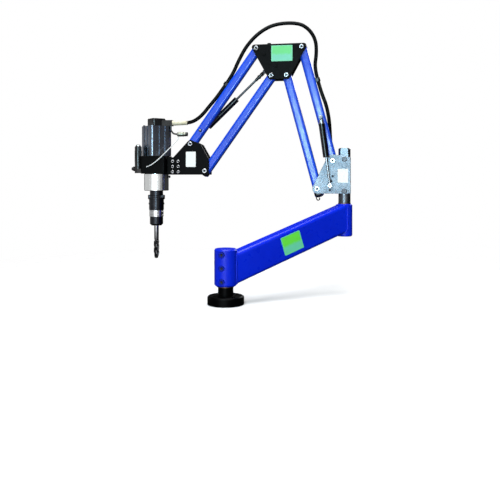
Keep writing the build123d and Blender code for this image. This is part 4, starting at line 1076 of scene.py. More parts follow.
CABLE_RUNS = (
    CableRun(
        "head_cable_sheath",
        "head_cable",
        (
            (559.395, 0, 567.035), (534.395, 0, 567.035), (510.2, 0, 576), (486.5, 0, 594.4),
            (464.4, 0, 621), (431.62, 0, 658.45),
            FRONT_CLIP,
        ),
        (Body.HEAD, Body.FRONT_OUTER),
    ),
    CableRun(
        "front_loop_sheath",
        "front_loop_cable",
        (
            FRONT_CLIP,
            (379.96, 0, 730.63), (359.7, 0, 776.9), (330.7, 0, 828.9), (286.7, 0, 872.9),
            (231.7, 0, 899.4),
            ELBOW_CREST,
        ),
        (Body.FRONT_OUTER, Body.ELBOW),
    ),
    CableRun(
        "rear_loop_sheath",
        "rear_loop_cable",
        (
            ELBOW_CREST,
            (153.7, 0, 899.4), (116.7, 0, 875.9), (94.7, 0, 837.9), (92.7, 0, 792.9),
            (99.548, 0, 745.559),
            REAR_CLIP,
        ),
        (Body.ELBOW, Body.REAR_OUTER),
    ),
    CableRun(
        "column_cable_sheath",
        "column_cable",
        (
            REAR_CLIP,
            (77.77, 0, 664.845), (60.5, 3, 622), (51.5, 13, 575), (49, 27.5, 532), (47.5, 38, 492),
            (42, 44, 455), (42, 44, 418),
        ),
        (Body.REAR_OUTER, Body.COLUMN),
        held=0.55,
    ),
    CableRun(
        "button_wire_sheath",
        "button_wire",
        (
            (569.75, -9, 519.92), (569.75, -9, 511), (577.6, -18, 502.5), (588.3, -30, 484.8),
            (601, -42, 468.5), (615, -50.5, 452.2), (631.7, -55, 435.8), (648.5, -56, 423.1),
            (663.1, -53, 416), (673.75, -45.6, 413.8),
        ),
        (Body.HEAD,),
        diameter=3.2,
        finish=WIRE_SHEATH,
        slot=Slot.WIRE_SHEATH,
        lay=Lay.HANGING,
        sides=14,
    ),
)


# Pieces that the solids leave out


@dataclass(frozen=True)
class LabelPlate:
    """Thin bare label stuck on a flat face, with rounded corners."""

    name: str
    place: Vector
    right: Vector
    up: Vector
    size: Pair
    finish: Print
    body: Body
    corner: float = 2.0
    corner_steps: int = 5
    thickness: float = 0.5

    def build(self) -> None:
        """Makes the label."""
        clear_selection()
        bpy.ops.mesh.primitive_plane_add(size=1.0, location=ORIGIN)
        obj = bpy.context.object
        bpy.ops.object.mode_set(mode="EDIT")
        bpy.ops.mesh.select_all(action="SELECT")
        bpy.ops.transform.resize(value=(self.size[0] * MM, self.size[1] * MM, 1.0))
        bpy.ops.mesh.bevel(offset=self.corner * MM, segments=self.corner_steps, affect="VERTICES")
        leave_edit()
        film = obj.modifiers.new("film", "SOLIDIFY")
        film.thickness = self.thickness * MM
        film.offset = 1.0
        apply_all(obj)
        right, up = self.right.normalized(), self.up.normalized()
        turn = Matrix((right, up, right.cross(up))).transposed().to_4x4()
        obj.matrix_world = Matrix.Translation(self.place) @ turn
        ride(settle(obj, self.name), Look(self.body, self.finish, Slot.CREAM_PLUG))


@dataclass(frozen=True)
class Boom:
    """Welds, covers, painted shade in the lock screw sockets and label of the sloping boom."""

    span: float = 447.0
    heading: float = math.radians(40.0)
    slope: float = math.radians(18.2348)
    start_height: float = 98.298
    half_width: float = 25.0
    half_height: float = 45.0
    corner: float = 11.0
    base_radius: float = 34.0
    column_radius: float = 26.0
    bead: float = 2.4
    bead_sides: int = 12
    bead_ripple: float = 0.07
    bead_step: float = 2.5
    label_reach: float = 234.0
    label_rise: float = 2.0
    label_size: Pair = (74.0, 58.0)
    label_corner: float = 3.0
    base_top: float = 164.0
    column_bottom: float = 184.0
    cover_inset: float = 2.2
    cover_rim: Profile = ((-1.2, -0.6), (0.0, 0.0), (0.0, 1.0), (-0.8, 1.7))
    cover_crown: float = 2.1
    lock_heading: float = math.radians(-100.0)
    lock_heights: tuple[float, ...] = (69.5, 109.5, 149.5)
    socket_seat: float = 31.0
    socket_radius: float = 4.7
    socket_rim: Profile = ((0.0, -0.4), (0.0, 0.2), (-0.5, 0.5), (-1.0, 0.2))
    socket_floor: float = 0.1
    look: Look = Look(Body.BOOM, BOOM_BLUE, Slot.BOOM_PAINT)

    def axes(self) -> tuple[Vector, Vector, Vector]:
        """Directions along the boom, out of its near side and up its section.

        Returns:
            Three unit vectors.
        """
        level = Vector((math.cos(self.heading), math.sin(self.heading), 0.0))
        along = level * math.cos(self.slope) + UP * math.sin(self.slope)
        near = Vector((math.sin(self.heading), -math.cos(self.heading), 0.0))
        return along, near, near.cross(along)

    def outline(self, steps: int = 16) -> list[Pair]:
        """Places round the tube's section, as across and up in millimetres.

        Args:
            steps: points of each corner.

        Returns:
            The outline's points in order.
        """
        points: list[Pair] = []
        wide, tall = self.half_width - self.corner, self.half_height - self.corner
        for quarter, (across, up) in enumerate(((wide, tall), (-wide, tall), (-wide, -tall), (wide, -tall))):
            for step in range(steps + 1):
                angle = math.pi / 2 * (quarter + step / steps)
                points.append((across + self.corner * math.cos(angle), up + self.corner * math.sin(angle)))
        full: list[Pair] = []
        for first, second in zip(points, points[1:] + points[:1]):
            cuts = max(1, round(math.dist(first, second) / self.bead_step))
            shares = [cut / cuts for cut in range(cuts)]
            full += [tuple(a + (b - a) * share for a, b in zip(first, second)) for share in shares]
        return full

    def seam(self, at_column: bool) -> list[Vector]:
        """Line where the tube meets one of its bosses.

        Args:
            at_column: whether it is the column's boss.

        Returns:
            Points in metres, all round the tube.
        """
        along, near, up = self.axes()
        line: list[Vector] = []
        for across, rise in self.outline():
            if at_column:
                level = self.span - math.sqrt(self.column_radius**2 - across**2)
            else:
                level = math.sqrt(self.base_radius**2 - across**2)
            reach = (level + rise * math.sin(self.slope)) / math.cos(self.slope)
            line.append((UP * self.start_height + reach * along + across * near + rise * up) * MM)
        return line

    def welds(self) -> None:
        """Makes the weld beads round both ends of the tube."""
        for name, at_column in (("base_boss_weld", False), ("column_boss_weld", True)):
            line = self.seam(at_column)
            bead = tube_along(name, line, self.bead, self.bead_sides, closed=True, ripple=self.bead_ripple)
            ride(bead, self.look)

    def covers(self) -> None:
        """Makes the blue covers over the upper end of the base boss and under the column boss."""
        column = Vector((math.cos(self.heading), math.sin(self.heading), 0.0)) * self.span
        for name, place, radius, axis in (
            ("base_boss_cover", UP * self.base_top, self.base_radius, UP),
            ("column_boss_cover", column + UP * self.column_bottom, self.column_radius, -UP),
        ):
            profile = disc(radius - self.cover_inset, self.cover_rim, self.cover_crown)
            turn_piece(name, profile, place * MM, axis, self.look, steps=64)

    def lock_sockets(self) -> None:
        """Makes the dark hexagon discs of painted shade in the sockets of the three lock screws."""
        out = Vector((math.cos(self.lock_heading), math.sin(self.lock_heading), 0.0))
        profile = disc(self.socket_radius, self.socket_rim, self.socket_floor)
        places = [(out * self.socket_seat + UP * height) * MM for height in self.lock_heights]
        # Dark discs in the lock screws' sockets: painted shade
        dark = Look(Body.BOOM, PAINTED_SOCKET_SHADE, Slot.DARK_SCREW)
        turn_set("lock_sockets", profile, places, out, dark, steps=HEXAGON)

    def label(self) -> None:
        """Makes the label on the tube's near side."""
        along, near, up = self.axes()
        middle = UP * self.start_height + self.label_reach * along
        middle += self.half_width * near + self.label_rise * up
        LabelPlate(
            "boom_label", middle * MM, along, up, self.label_size, LIME_PRINT, Body.BOOM, self.label_corner
        ).build()

    def build(self) -> None:
        """Makes the covers, the painted socket shade, the weld beads and the label."""
        self.covers()
        self.lock_sockets()
        self.welds()
        self.label()


@dataclass(frozen=True)
class ScrewFaces:
    """Bright rims of like screws on the near side, with dark hexagon discs in their sockets as painted
    shade.
    """

    name: str
    places: tuple[Pair, ...]
    body: Body
    depth: float = -30.5
    rim: float = 7.3
    lip: float = 5.4
    well: float = 3.9
    seat: float = -0.3
    rim_steps: int = 40
    rim_skin: Profile = ((0.0, 0.1), (-0.5, 0.6))
    lip_skin: Profile = ((0.3, 0.6), (0.0, 0.3))
    well_rim: Profile = ((0.0, -0.3), (0.0, 0.25), (-0.4, 0.35), (-0.8, 0.1))
    well_floor: float = 0.05

    def build(self) -> None:
        """Makes the rims, and the dark discs of painted shade in the sockets."""
        ring = [
            (self.lip, self.seat),
            (self.rim, self.seat),
            *((self.rim + out, height) for out, height in self.rim_skin),
            *((self.lip + out, height) for out, height in self.lip_skin),
            (self.lip, self.seat),
        ]
        socket = disc(self.well, self.well_rim, self.well_floor)
        places = [LINKS.point(*place, self.depth) for place in self.places]
        steel = Look(self.body, GROUND_STEEL, Slot.STEEL)
        turn_set(f"{self.name}_rims", ring, places, NEAR, steel, self.rim_steps)
        # Dark hexagon discs in the sockets: painted shade
        dark = Look(self.body, PAINTED_SOCKET_SHADE, Slot.DARK_SCREW)
        turn_set(f"{self.name}_sockets", socket, places, NEAR, dark, steps=HEXAGON)


@dataclass(frozen=True)
class LinkPlates:
    """Labels and screw faces of the plates, the elbow's stop block and the ends of arms and struts."""

    face_depth: float = -24.0
    stop_place: Pair = (251.4, 823.4)
    stop_size: Point = (12.0, 32.0, 15.0)
    stop_inset: float = 3.5
    stop_rise: float = 1.2
    stop_round: float = 1.0
    rear_foot: Pair = (82.487, 315.863)
    rear_lean: float = math.radians(15.1)
    front_foot: Pair = (480.727, 387.838)
    front_lean: float = math.radians(-35.6)
    arm_width: float = 30.0
    cap_cover: float = 19.0
    cap_end: float = 3.5
    cap_wall: float = 0.3
    cap_round: float = 8.7
    cap_round_steps: int = 8
    cap_inset: float = 2.0
    cap_bulge: float = 0.8
    cap_edge: float = 0.6
    hook_shift: float = 12.0
    hook_radius: float = 5.0
    hook_wire: float = 1.8
    hook_root: float = 3.0
    hook_drop: float = 4.5
    hook_turn: float = math.radians(207.0)
    hook_steps: int = 14
    hook_stem_steps: int = 8
    hook_sides: int = 12
    front_strut: Pair = (489.814, 539.381)
    rear_strut: Pair = (76.815, 576.855)
    rear_eye: Pair = (46.0, 351.0)
    front_eye: Pair = (274.639, 743.396)
    strut_depth: float = -37.0
    front_nut_depth: float = -15.6
    rear_nut_depth: float = -43.2
    stud_face: float = -46.0
    shoulder_pins: tuple[Pair, ...] = ((38.0, 433.0), (89.0, 340.0))
    elbow_pins: tuple[Pair, ...] = (
        (293.639, 813.396), (242.639, 720.396), (140.639, 813.396), (191.639, 720.396),
    )
    head_pins: tuple[Pair, ...] = ((522.995, 493.035), (471.995, 400.035))
    head_screw_reaches: tuple[float, ...] = (565.495, 585.495)
    head_screw_heights: tuple[float, ...] = (397.035, 415.035, 433.035)
    head_screw_face: float = -29.0
    nut_profile: Profile = (
        (0.0, 0.0), (5.0, 0.0), (5.0, 3.6), (4.4, 4.3), (3.3, 4.4), (2.8, 5.8), (1.6, 6.7), (0.0, 6.9),
    )
    neck_profile: Profile = (
        (5.0, 9.0), (7.2, 9.0), (7.8, 9.8), (7.8, 13.0), (7.0, 13.6), (7.0, 16.0), (8.6, 16.8),
        (8.6, 21.9), (5.0, 21.9), (5.0, 9.0),
    )
    rod_end_profile: Profile = (
        (3.85, 6.0), (6.2, 6.0), (6.6, 6.6), (6.6, 17.0), (5.4, 17.8), (5.4, 22.0), (6.9, 22.6),
        (6.9, 29.0), (5.2, 30.0), (5.2, 42.0), (3.85, 43.0), (3.85, 6.0),
    )

    def labels(self) -> None:
        """Makes the labels on the elbow, the head and the bracket."""
        for name, reach, height, size, finish, body in (
            ("elbow_label", 207.0, 794.0, (71.5, 53.0), GREEN_PRINT, Body.ELBOW),
            ("head_label", 521.7, 439.8, (35.0, 52.5), WHITE_PRINT, Body.HEAD),
            ("bracket_label", 4.5, 383.0, (34.0, 46.0), WHITE_PRINT, Body.COLUMN),
        ):
            place = LINKS.point(reach, height, self.face_depth)
            LabelPlate(name, place, RIGHT, UP, size, finish, body).build()

    def stop_block(self) -> None:
        """Makes the block that holds the elbow's plates apart at their top edge."""
        stop = block("elbow_stop_block", self.stop_size, LINKS.point(*self.stop_place))
        raise_end(stop, self.stop_inset, self.stop_rise)
        round_edges(stop, self.stop_round)
        smooth(stop)
        ride(stop, Look(Body.ELBOW, BLACK_PAINT, Slot.BLACK_PAINT))

    def foot_cap(self, name: str, foot: Pair, lean: float, body: Body) -> None:
        """Makes the black cap pushed over the lower end of an inner arm.

        Args:
            name: the cap's name.
            foot: reach and height of the end of the arm's tube.
            lean: turn of the arm about the depth axis, from upright.
            body: the link it sits on.
        """
        width = self.arm_width + 2.0 * self.cap_wall
        middle = UP * ((self.cap_cover - self.cap_end) / 2 * MM)
        cap = block(name, (width, width, self.cap_cover + self.cap_end), middle)
        bpy.context.tool_settings.mesh_select_mode = (False, True, False)
        for edge in cap.data.edges:
            ends = [cap.data.vertices[index].co for index in edge.vertices]
            edge.select = abs(ends[0].z - ends[1].z) > UPRIGHT_RISE
        bpy.ops.object.mode_set(mode="EDIT")
        bpy.ops.mesh.bevel(offset=self.cap_round * MM, segments=self.cap_round_steps, affect="EDGES")
        leave_edit()
        raise_end(cap, self.cap_inset, -self.cap_bulge)
        round_edges(cap, self.cap_edge, segments=2, angle=50.0)
        smooth(cap)
        cap.matrix_world = Matrix.Translation(LINKS.point(*foot)) @ Matrix.Rotation(-lean, 4, "Y")
        ride(settle(cap, name), Look(body, BLACK_PLASTIC, Slot.BLACK_PLASTIC))

    def foot_hook(self) -> None:
        """Makes the small hook under the rear inner arm."""
        down = Vector((math.sin(self.rear_lean), 0.0, -math.cos(self.rear_lean)))
        side = Vector((math.cos(self.rear_lean), 0.0, math.sin(self.rear_lean)))
        root = LINKS.point(*self.rear_foot) + (down * self.cap_end - side * self.hook_shift) * MM
        line = [root + down * (step - self.hook_root) * MM for step in range(self.hook_stem_steps)]
        middle = root + down * self.hook_drop * MM + side * self.hook_radius * MM
        for step in range(1, self.hook_steps + 1):
            angle = self.hook_turn * step / self.hook_steps
            line.append(middle + (down * math.sin(angle) - side * math.cos(angle)) * self.hook_radius * MM)
        hook = tube_along("arm_foot_hook", line, self.hook_wire, self.hook_sides)
        ride(hook, Look(Body.REAR_INNER, BLACK_PAINT, Slot.BLACK_PAINT))

    def screw_faces(self) -> None:
        """Makes the faces of the pins, the head's screws and the rear strut's stud."""
        heights = self.head_screw_heights
        grid = tuple((reach, height) for reach in self.head_screw_reaches for height in heights)
        for faces in (
            ScrewFaces("shoulder_pin", self.shoulder_pins, Body.COLUMN),
            ScrewFaces("elbow_pin", self.elbow_pins, Body.ELBOW),
            ScrewFaces("head_pin", self.head_pins, Body.HEAD),
            ScrewFaces("head_screw", grid, Body.HEAD, self.head_screw_face, rim=4.9, lip=3.5, well=2.3),
            ScrewFaces(
                "strut_stud", (self.rear_eye,), Body.REAR_PISTON, self.stud_face, rim=6.2, lip=4.4, well=3.0
            ),
        ):
            faces.build()

    def strut_ends(self) -> None:
        """Makes the cap nuts of the strut studs, the neck of the rear strut and the front rod's end."""
        for name, place, depth, body in (
            ("front_strut_nut", self.front_strut, self.front_nut_depth, Body.FRONT_STRUT),
            ("rear_strut_nut", self.rear_strut, self.rear_nut_depth, Body.REAR_STRUT),
        ):
            steel = Look(body, SCREW_STEEL, Slot.STEEL)
            turn_piece(name, self.nut_profile, LINKS.point(*place, depth), NEAR, steel, steps=32)
        for name, profile, depth, (start, end), look in (
            (
                "rear_strut_neck",
                self.neck_profile,
                self.strut_depth,
                (self.rear_strut, self.rear_eye),
                Look(Body.REAR_STRUT, SCREW_STEEL, Slot.STEEL),
            ),
            (
                "front_rod_end",
                self.rod_end_profile,
                -self.strut_depth,
                (self.front_eye, self.front_strut),
                Look(Body.FRONT_PISTON, STRUT_BLACK, Slot.STRUT_BLACK),
            ),
        ):
            place = LINKS.point(*start, depth)
            along = (LINKS.point(*end, depth) - place).normalized()
            turn_piece(name, profile, place, along, look, steps=36)

    def build(self) -> None:
        """Makes all of these pieces."""
        self.labels()
        self.stop_block()
        self.foot_cap("rear_arm_foot_cap", self.rear_foot, self.rear_lean, Body.REAR_INNER)
        self.foot_cap("front_arm_foot_cap", self.front_foot, self.front_lean, Body.FRONT_INNER)
        self.foot_hook()
        self.screw_faces()
        self.strut_ends()


@dataclass(frozen=True)
class ToolEnd:
    """Tap with its spiral flutes, the ridged release ring and the adapter's sleeve."""

    tap_top: float = 249.735
    thread_top: float = 154.735
    tap_tip: float = 95.735
    tip_cone: float = 1.5
    row_step: float = 0.5
    spin_steps: int = 72
    shank_radius: float = 8.0
    shank_chamfer: Pair = (0.3, 0.6)
    shank_ring: float = 30.0
    thread_radius: float = 10.0
    shoulder_over: float = 2.0
    shoulder_under: float = 1.0
    lead_length: float = 16.0
    lead_radius: float = 6.5
    flutes: int = 3
    flute_twist: float = math.radians(5.2)
    flute_depth: float = 4.6
    flute_run: float = 7.0
    flute_width: float = 0.15
    flute_power: float = 0.7
    flute_crease: float = 55.0
    core_radius: float = 2.5
    axis_reach: float = 0.5
    thread_pitch: float = 2.5
    thread_depth: float = 1.1
    thread_end: float = 2.0
    ring_top: float = 316.42
    ring_height: float = 15.0
    ring_radius: float = 29.5
    ring_bore: float = 26.1
    ring_chamfer: float = 1.2
    ring_groove: Profile = ((0.0, 4.0), (-0.8, 4.4), (-0.8, 5.2), (0.0, 5.6))
    flat_band: float = 1.0
    flat_skin: float = 0.6
    flat_inset: float = 0.5
    flat_depth: float = 0.55
    band_bottom: float = 240.735
    band_foot: Profile = ((23.6, 0.4), (24.1, 0.4), (24.5, 0.9))
    band_groove: Profile = ((24.5, 0.0), (24.15, 0.4), (24.15, 1.2), (24.5, 1.6))
    band_first_groove: float = 6.0
    band_groove_pitch: float = 12.8
    band_head: Profile = ((24.5, 22.2), (23.6, 22.8), (23.6, 0.4))

    def blank_reach(self, height: float) -> float:
        """Radius of the tap's blank at a height, before thread and flutes.

        Args:
            height: the height in millimetres.

        Returns:
            The radius in millimetres.
        """
        shoulder = self.thread_top + self.shoulder_over
        if height > shoulder:
            return self.shank_radius
        if height > self.thread_top - self.shoulder_under:
            share = (shoulder - height) / (self.shoulder_over + self.shoulder_under)
            return self.shank_radius + (self.thread_radius - self.shank_radius) * share
        over_tip = height - self.tap_tip
        if over_tip < self.lead_length:
            return self.lead_radius + (self.thread_radius - self.lead_radius) * over_tip / self.lead_length
        return self.thread_radius

    def cut_reach(self, reach: float, height: float, angle: float) -> float:
        """Radius of the tap once the thread and the flutes are cut.

        Args:
            reach: radius of the blank in millimetres.
            height: the height in millimetres.
            angle: the angle round the axis in radians.

        Returns:
            The radius in millimetres.
        """
        if height < self.thread_top - self.thread_end:
            phase = (height / self.thread_pitch - angle / math.tau) % 1.0
            reach -= self.thread_depth * abs(2.0 * phase - 1.0)
        fade = min(1.0, (self.thread_top + self.flute_run - height) / self.flute_run)
        wave = math.cos(self.flutes * (angle - self.flute_twist * (height - self.tap_tip)))
        reach -= self.flute_depth * fade * max(0.0, wave + self.flute_width) ** self.flute_power
        return max(reach, self.core_radius)

    def tap(self) -> None:
        """Makes the tap's threaded end: a turned blank whose skin is then drawn in, as thread and flutes."""
        axis = LINKS.spindle(0.0)
        seam = self.thread_top + self.flute_run
        rows = round((seam - self.tap_tip) / self.row_step)
        heights = [self.tap_tip + self.row_step * row for row in range(rows + 1)]
        profile = [(0.0, self.tap_tip - self.tip_cone)]
        profile += [(self.blank_reach(height), height) for height in heights]
        profile += [(0.0, heights[-1])]
        obj = turned("fluted_tap", profile, axis, UP, self.spin_steps)
        for vertex in obj.data.vertices:
            height = vertex.co.z / MM
            out = Vector((vertex.co.x - axis.x, vertex.co.y - axis.y, 0.0))
            reach = out.length / MM
            if reach < self.axis_reach or height > seam:
                continue
            cut = self.cut_reach(reach, height, math.atan2(out.y, out.x))
            vertex.co = axis + out.normalized() * cut * MM + Vector((0.0, 0.0, vertex.co.z))
        obj.data.update()
        smooth(obj, self.flute_crease)
        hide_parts("tap")
        ride(obj, Look(Body.SPINDLE, TAP_STEEL, Slot.TAP_STEEL))

    def shank(self) -> None:
        """Makes the tap's ground shank."""
        reach, top, seam = self.shank_radius, self.tap_top, self.thread_top + self.flute_run
        inset, rise = self.shank_chamfer
        profile = (
            (0.0, seam),
            (reach - inset, seam),
            (reach, seam + rise),
            (reach, top - self.shank_ring),
            (reach, top),
            (0.0, top),
        )
        look = Look(Body.SPINDLE, GROUND_STEEL, Slot.TAP_STEEL)
        turn_piece("tap_shank", profile, LINKS.spindle(0.0), UP, look, self.spin_steps)

    def release_ring(self) -> None:
        """Makes the release ring, with flats pressed all round its rim."""
        low, high = self.ring_top - self.ring_height, self.ring_top
        bore, rim, chamfer = self.ring_bore, self.ring_radius, self.ring_chamfer
        profile = [
            (bore, low),
            (rim - chamfer, low),
            (rim, low + chamfer),
            *((rim + out, low + rise) for out, rise in self.ring_groove),
            (rim, high - chamfer),
            (rim - chamfer, high),
            (bore, high),
            (bore, low),
        ]
        ring = turned("ridged_release_ring", profile, LINKS.spindle(0.0), UP, self.spin_steps)
        groove_top = self.ring_groove[-1][1]
        middle = LINKS.spindle((low + groove_top + high - chamfer) / 2)
        edit_faces(
            ring,
            lambda face: abs(face.center.z - middle.z) < self.flat_band * MM
            and (face.center - middle).length > (rim - self.flat_skin) * MM,
        )
        bpy.ops.mesh.inset(thickness=self.flat_inset * MM, depth=-self.flat_depth * MM, use_individual=True)
        leave_edit()
        smooth(ring, RIDGE_CREASE)
        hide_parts("release_ring")
        ride(ring, Look(Body.RELEASE, CHUCK_BLACK, Slot.CHUCK_BLACK))

    def adapter_sleeve(self) -> None:
        """Makes the bright sleeve round the adapter, with two grooves."""
        grooves = ribs(2, self.band_first_groove, self.band_groove_pitch, self.band_groove)
        profile = [*self.band_foot, *grooves, *self.band_head]
        look = Look(Body.SPINDLE, GROUND_STEEL, Slot.STEEL)
        turn_piece("adapter_sleeve", profile, LINKS.spindle(self.band_bottom), UP, look, steps=64)

    def build(self) -> None:
        """Makes the tap, the ring and the sleeve."""
        self.tap()
        self.shank()
        self.release_ring()
        self.adapter_sleeve()


@dataclass(frozen=True)
class HeadFittings:
    """Plug, connector sleeve, motor screws, grease nipple and grip sleeve of the head."""

    plug_reach: float = 593.495
    plug_height: float = 567.035
    plug_length: float = 34.1
    plug_nut: Profile = ((8.75, 0.0), (8.25, 0.5), (8.25, 1.0), (8.75, 1.5))
    plug_barrel: Profile = ((8.3, 11.6), (8.3, 21.0), (7.9, 21.6), (7.9, 22.6), (8.2, 23.0))
    plug_end: Profile = ((7.6, -3.0), (6.9, 0.0), (0.0, 0.0))
    boot_foot: Profile = ((6.2, -1.0), (7.9, -1.0), (7.9, 1.6))
    boot_rib: Profile = ((7.0, 0.5), (7.0, 1.4), (7.7, 1.9), (7.7, 3.4))
    boot_taper: float = 0.18
    boot_end: Profile = ((6.5, 19.6), (6.2, 19.6), (6.2, -1.0))
    grommet: Point = (673.75, 413.8, -44.0)
    grommet_profile: Profile = ((0.0, -0.4), (4.6, -0.4), (4.6, 0.9), (3.9, 2.2), (2.6, 3.0), (0.0, 3.3))
    signal: Point = (570.75, 527.035, -9.0)
    signal_foot: Profile = ((6.9, 0.0), (7.9, 0.0), (7.9, 2.0))
    signal_ridge: Profile = ((7.5, 0.5), (7.5, 1.2), (7.9, 1.7))
    signal_end: Profile = ((7.9, 20.0), (7.2, 21.0), (7.2, 27.0), (6.9, 27.0), (6.9, 0.0))
    motor_top: float = 556.535
    motor_screw_circle: float = 45.0
    motor_screws_round: int = 4
    motor_screw_profile: Profile = (
        (0.0, 1.6), (1.9, 1.6), (1.9, 4.4), (3.3, 4.4), (3.8, 3.8), (3.8, 0.0), (0.0, 0.0),
    )
    collar_radius: float = 42.5
    nipple_height: float = 380.0
    nipple_profile: Profile = (
        (0.0, -1.0), (4.2, -1.0), (4.2, 1.5), (3.2, 2.0), (3.2, 3.4), (4.5, 4.2), (4.7, 6.2),
        (3.9, 7.3), (0.0, 7.7),
    )
    grip_reach: float = 712.495
    grip_depth: float = -20.0
    sleeve_bottom: float = 430.0
    sleeve_foot: Profile = ((11.7, 0.0), (12.5, 0.4))
    sleeve_groove: Profile = ((12.5, 0.0), (12.1, 0.4), (12.1, 1.0), (12.5, 1.4))
    sleeve_end: Profile = ((12.5, 40.6), (11.7, 41.0), (11.7, 0.0))
    bezel_bottom: float = 486.535
    bezel_profile: Profile = (
        (7.3, 0.0), (9.4, 0.0), (9.4, 0.8), (8.8, 1.6), (7.8, 1.6), (7.3, 1.0), (7.3, 0.0),
    )

    def plug(self) -> None:
        """Makes the cream plug, with a ridged nut and a tapered barrel, and the ribbed boot of its cable."""
        cream = Look(Body.HEAD, CREAM_PLASTIC, Slot.CREAM_PLUG)
        nut = ribs(count=5, first=0.8, pitch=2.0, shape=self.plug_nut)
        end = [(radius, self.plug_length + height) for radius, height in self.plug_end]
        profile = [(0.0, 0.0), (self.plug_nut[0][0], 0.0), *nut, *self.plug_barrel, *end]
        place = LINKS.point(self.plug_reach, self.plug_height)
        plug = turn_piece("ridged_power_plug", profile, place, RIGHT, cream, crease=RIDGE_CREASE)
        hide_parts("power_plug")
        boot = ribs(count=5, first=1.6, pitch=3.4, shape=self.boot_rib, taper=self.boot_taper)
        profile = [*self.boot_foot, *boot, *self.boot_end]
        place = LINKS.point(self.plug_reach - self.plug_length, self.plug_height)
        turn_piece("plug_boot", profile, place, RIGHT, cream, crease=RIDGE_CREASE)

    def wire_grommet(self) -> None:
        """Makes the rubber grommet where the button wire enters the housing."""
        look = Look(Body.HEAD, GRIP_RUBBER, Slot.BLACK_PLASTIC)
        turn_piece("wire_grommet", self.grommet_profile, LINKS.point(*self.grommet), NEAR, look, steps=32)

    def signal_sleeve(self) -> None:
        """Makes the bright coupling sleeve round the signal connector."""
        ridges = ribs(count=6, first=2.0, pitch=2.4, shape=self.signal_ridge)
        profile = [*self.signal_foot, *ridges, *self.signal_end]
        look = Look(Body.HEAD, NICKEL, Slot.STEEL)
        turn_piece("signal_sleeve", profile, LINKS.point(*self.signal), RIGHT, look, crease=RIDGE_CREASE)

    def motor_screws(self) -> None:
        """Makes the cap screws on the motor's top."""
        look = Look(Body.HEAD, BLACK_OXIDE, Slot.DARK_SCREW)
        for count in range(self.motor_screws_round):
            angle = math.tau / self.motor_screws_round * count
            out = Vector((math.cos(angle), math.sin(angle), 0.0)) * self.motor_screw_circle * MM
            place = LINKS.spindle(self.motor_top) + out
            name = f"motor_screw_{count + 1}"
            turn_piece(name, self.motor_screw_profile, place, UP, look, steps=24, crease=RIDGE_CREASE)

    def nipple(self) -> None:
        """Makes the small nipple on the collar's side."""
        place = LINKS.spindle(self.nipple_height) + RIGHT * self.collar_radius * MM
        look = Look(Body.HEAD, BLACK_PLASTIC, Slot.BLACK_PLASTIC)
        turn_piece("collar_nipple", self.nipple_profile, place, RIGHT, look, steps=28)

    def grip_sleeve(self) -> None:
        """Makes the ribbed sleeve of the grip and the bezel of its button."""
        grooves = ribs(count=9, first=2.0, pitch=4.2, shape=self.sleeve_groove)
        profile = [*self.sleeve_foot, *grooves, *self.sleeve_end]
        place = LINKS.point(self.grip_reach, self.sleeve_bottom, self.grip_depth)
        rubber = Look(Body.HEAD, GRIP_RUBBER, Slot.BLACK_PLASTIC)
        turn_piece("grip_sleeve", profile, place, UP, rubber, steps=48, crease=RIDGE_CREASE)
        place = LINKS.point(self.grip_reach, self.bezel_bottom, self.grip_depth)
        turn_piece("button_bezel", self.bezel_profile, place, UP, Look(Body.HEAD, GROUND_STEEL, Slot.STEEL))

    def build(self) -> None:
        """Makes all of the head's fittings."""
        self.plug()
        self.wire_grommet()
        self.signal_sleeve()
        self.motor_screws()
        self.nipple()
        self.grip_sleeve()


# Studio


@dataclass(frozen=True)
class SoftBox:
    """Soft lamp with its middle, the point it faces and its size in metres, and its power in watts."""

    name: str
    place: Point
    target: Point
    size: Pair
    power: float
    tint: Colour = WHITE

    def build(self) -> None:
        """Hangs the lamp."""
        data = bpy.data.lights.new(self.name, "AREA")
        data.color = self.tint
        data.shape = "RECTANGLE"
        data.size, data.size_y = self.size
        data.energy = self.power
        lamp = bpy.data.objects.new(self.name, data)
        lamp.location = self.place
        facing = Vector(self.target) - Vector(self.place)
        lamp.rotation_euler = facing.to_track_quat("-Z", "Y").to_euler()
        lamp.visible_camera = False
        bpy.context.scene.collection.objects.link(lamp)


@dataclass(frozen=True)
class Strip:
    """Low upright panel of even brightness that the round metal mirrors.

    It stands turn degrees to the right of straight in front of the machine and covers spread degrees, seen
    from there. Its edges lie at heights in metres, and it looks white at a brightness of one.
    """

    name: str
    turn: float
    spread: float
    heights: Pair
    brightness: float
    distance: float = 3.2
    centre_y: float = 0.28

    def build(self) -> None:
        """Hangs the panel."""
        angle = math.radians(self.turn)
        low, high = self.heights
        wide = 2.0 * self.distance * math.tan(math.radians(self.spread) / 2.0)
        middle = (low + high) / 2.0
        place = (self.distance * math.sin(angle), self.centre_y - self.distance * math.cos(angle), middle)
        power = math.pi * wide * (high - low) * self.brightness
        SoftBox(self.name, place, (0.0, self.centre_y, middle), (wide, high - low), power).build()


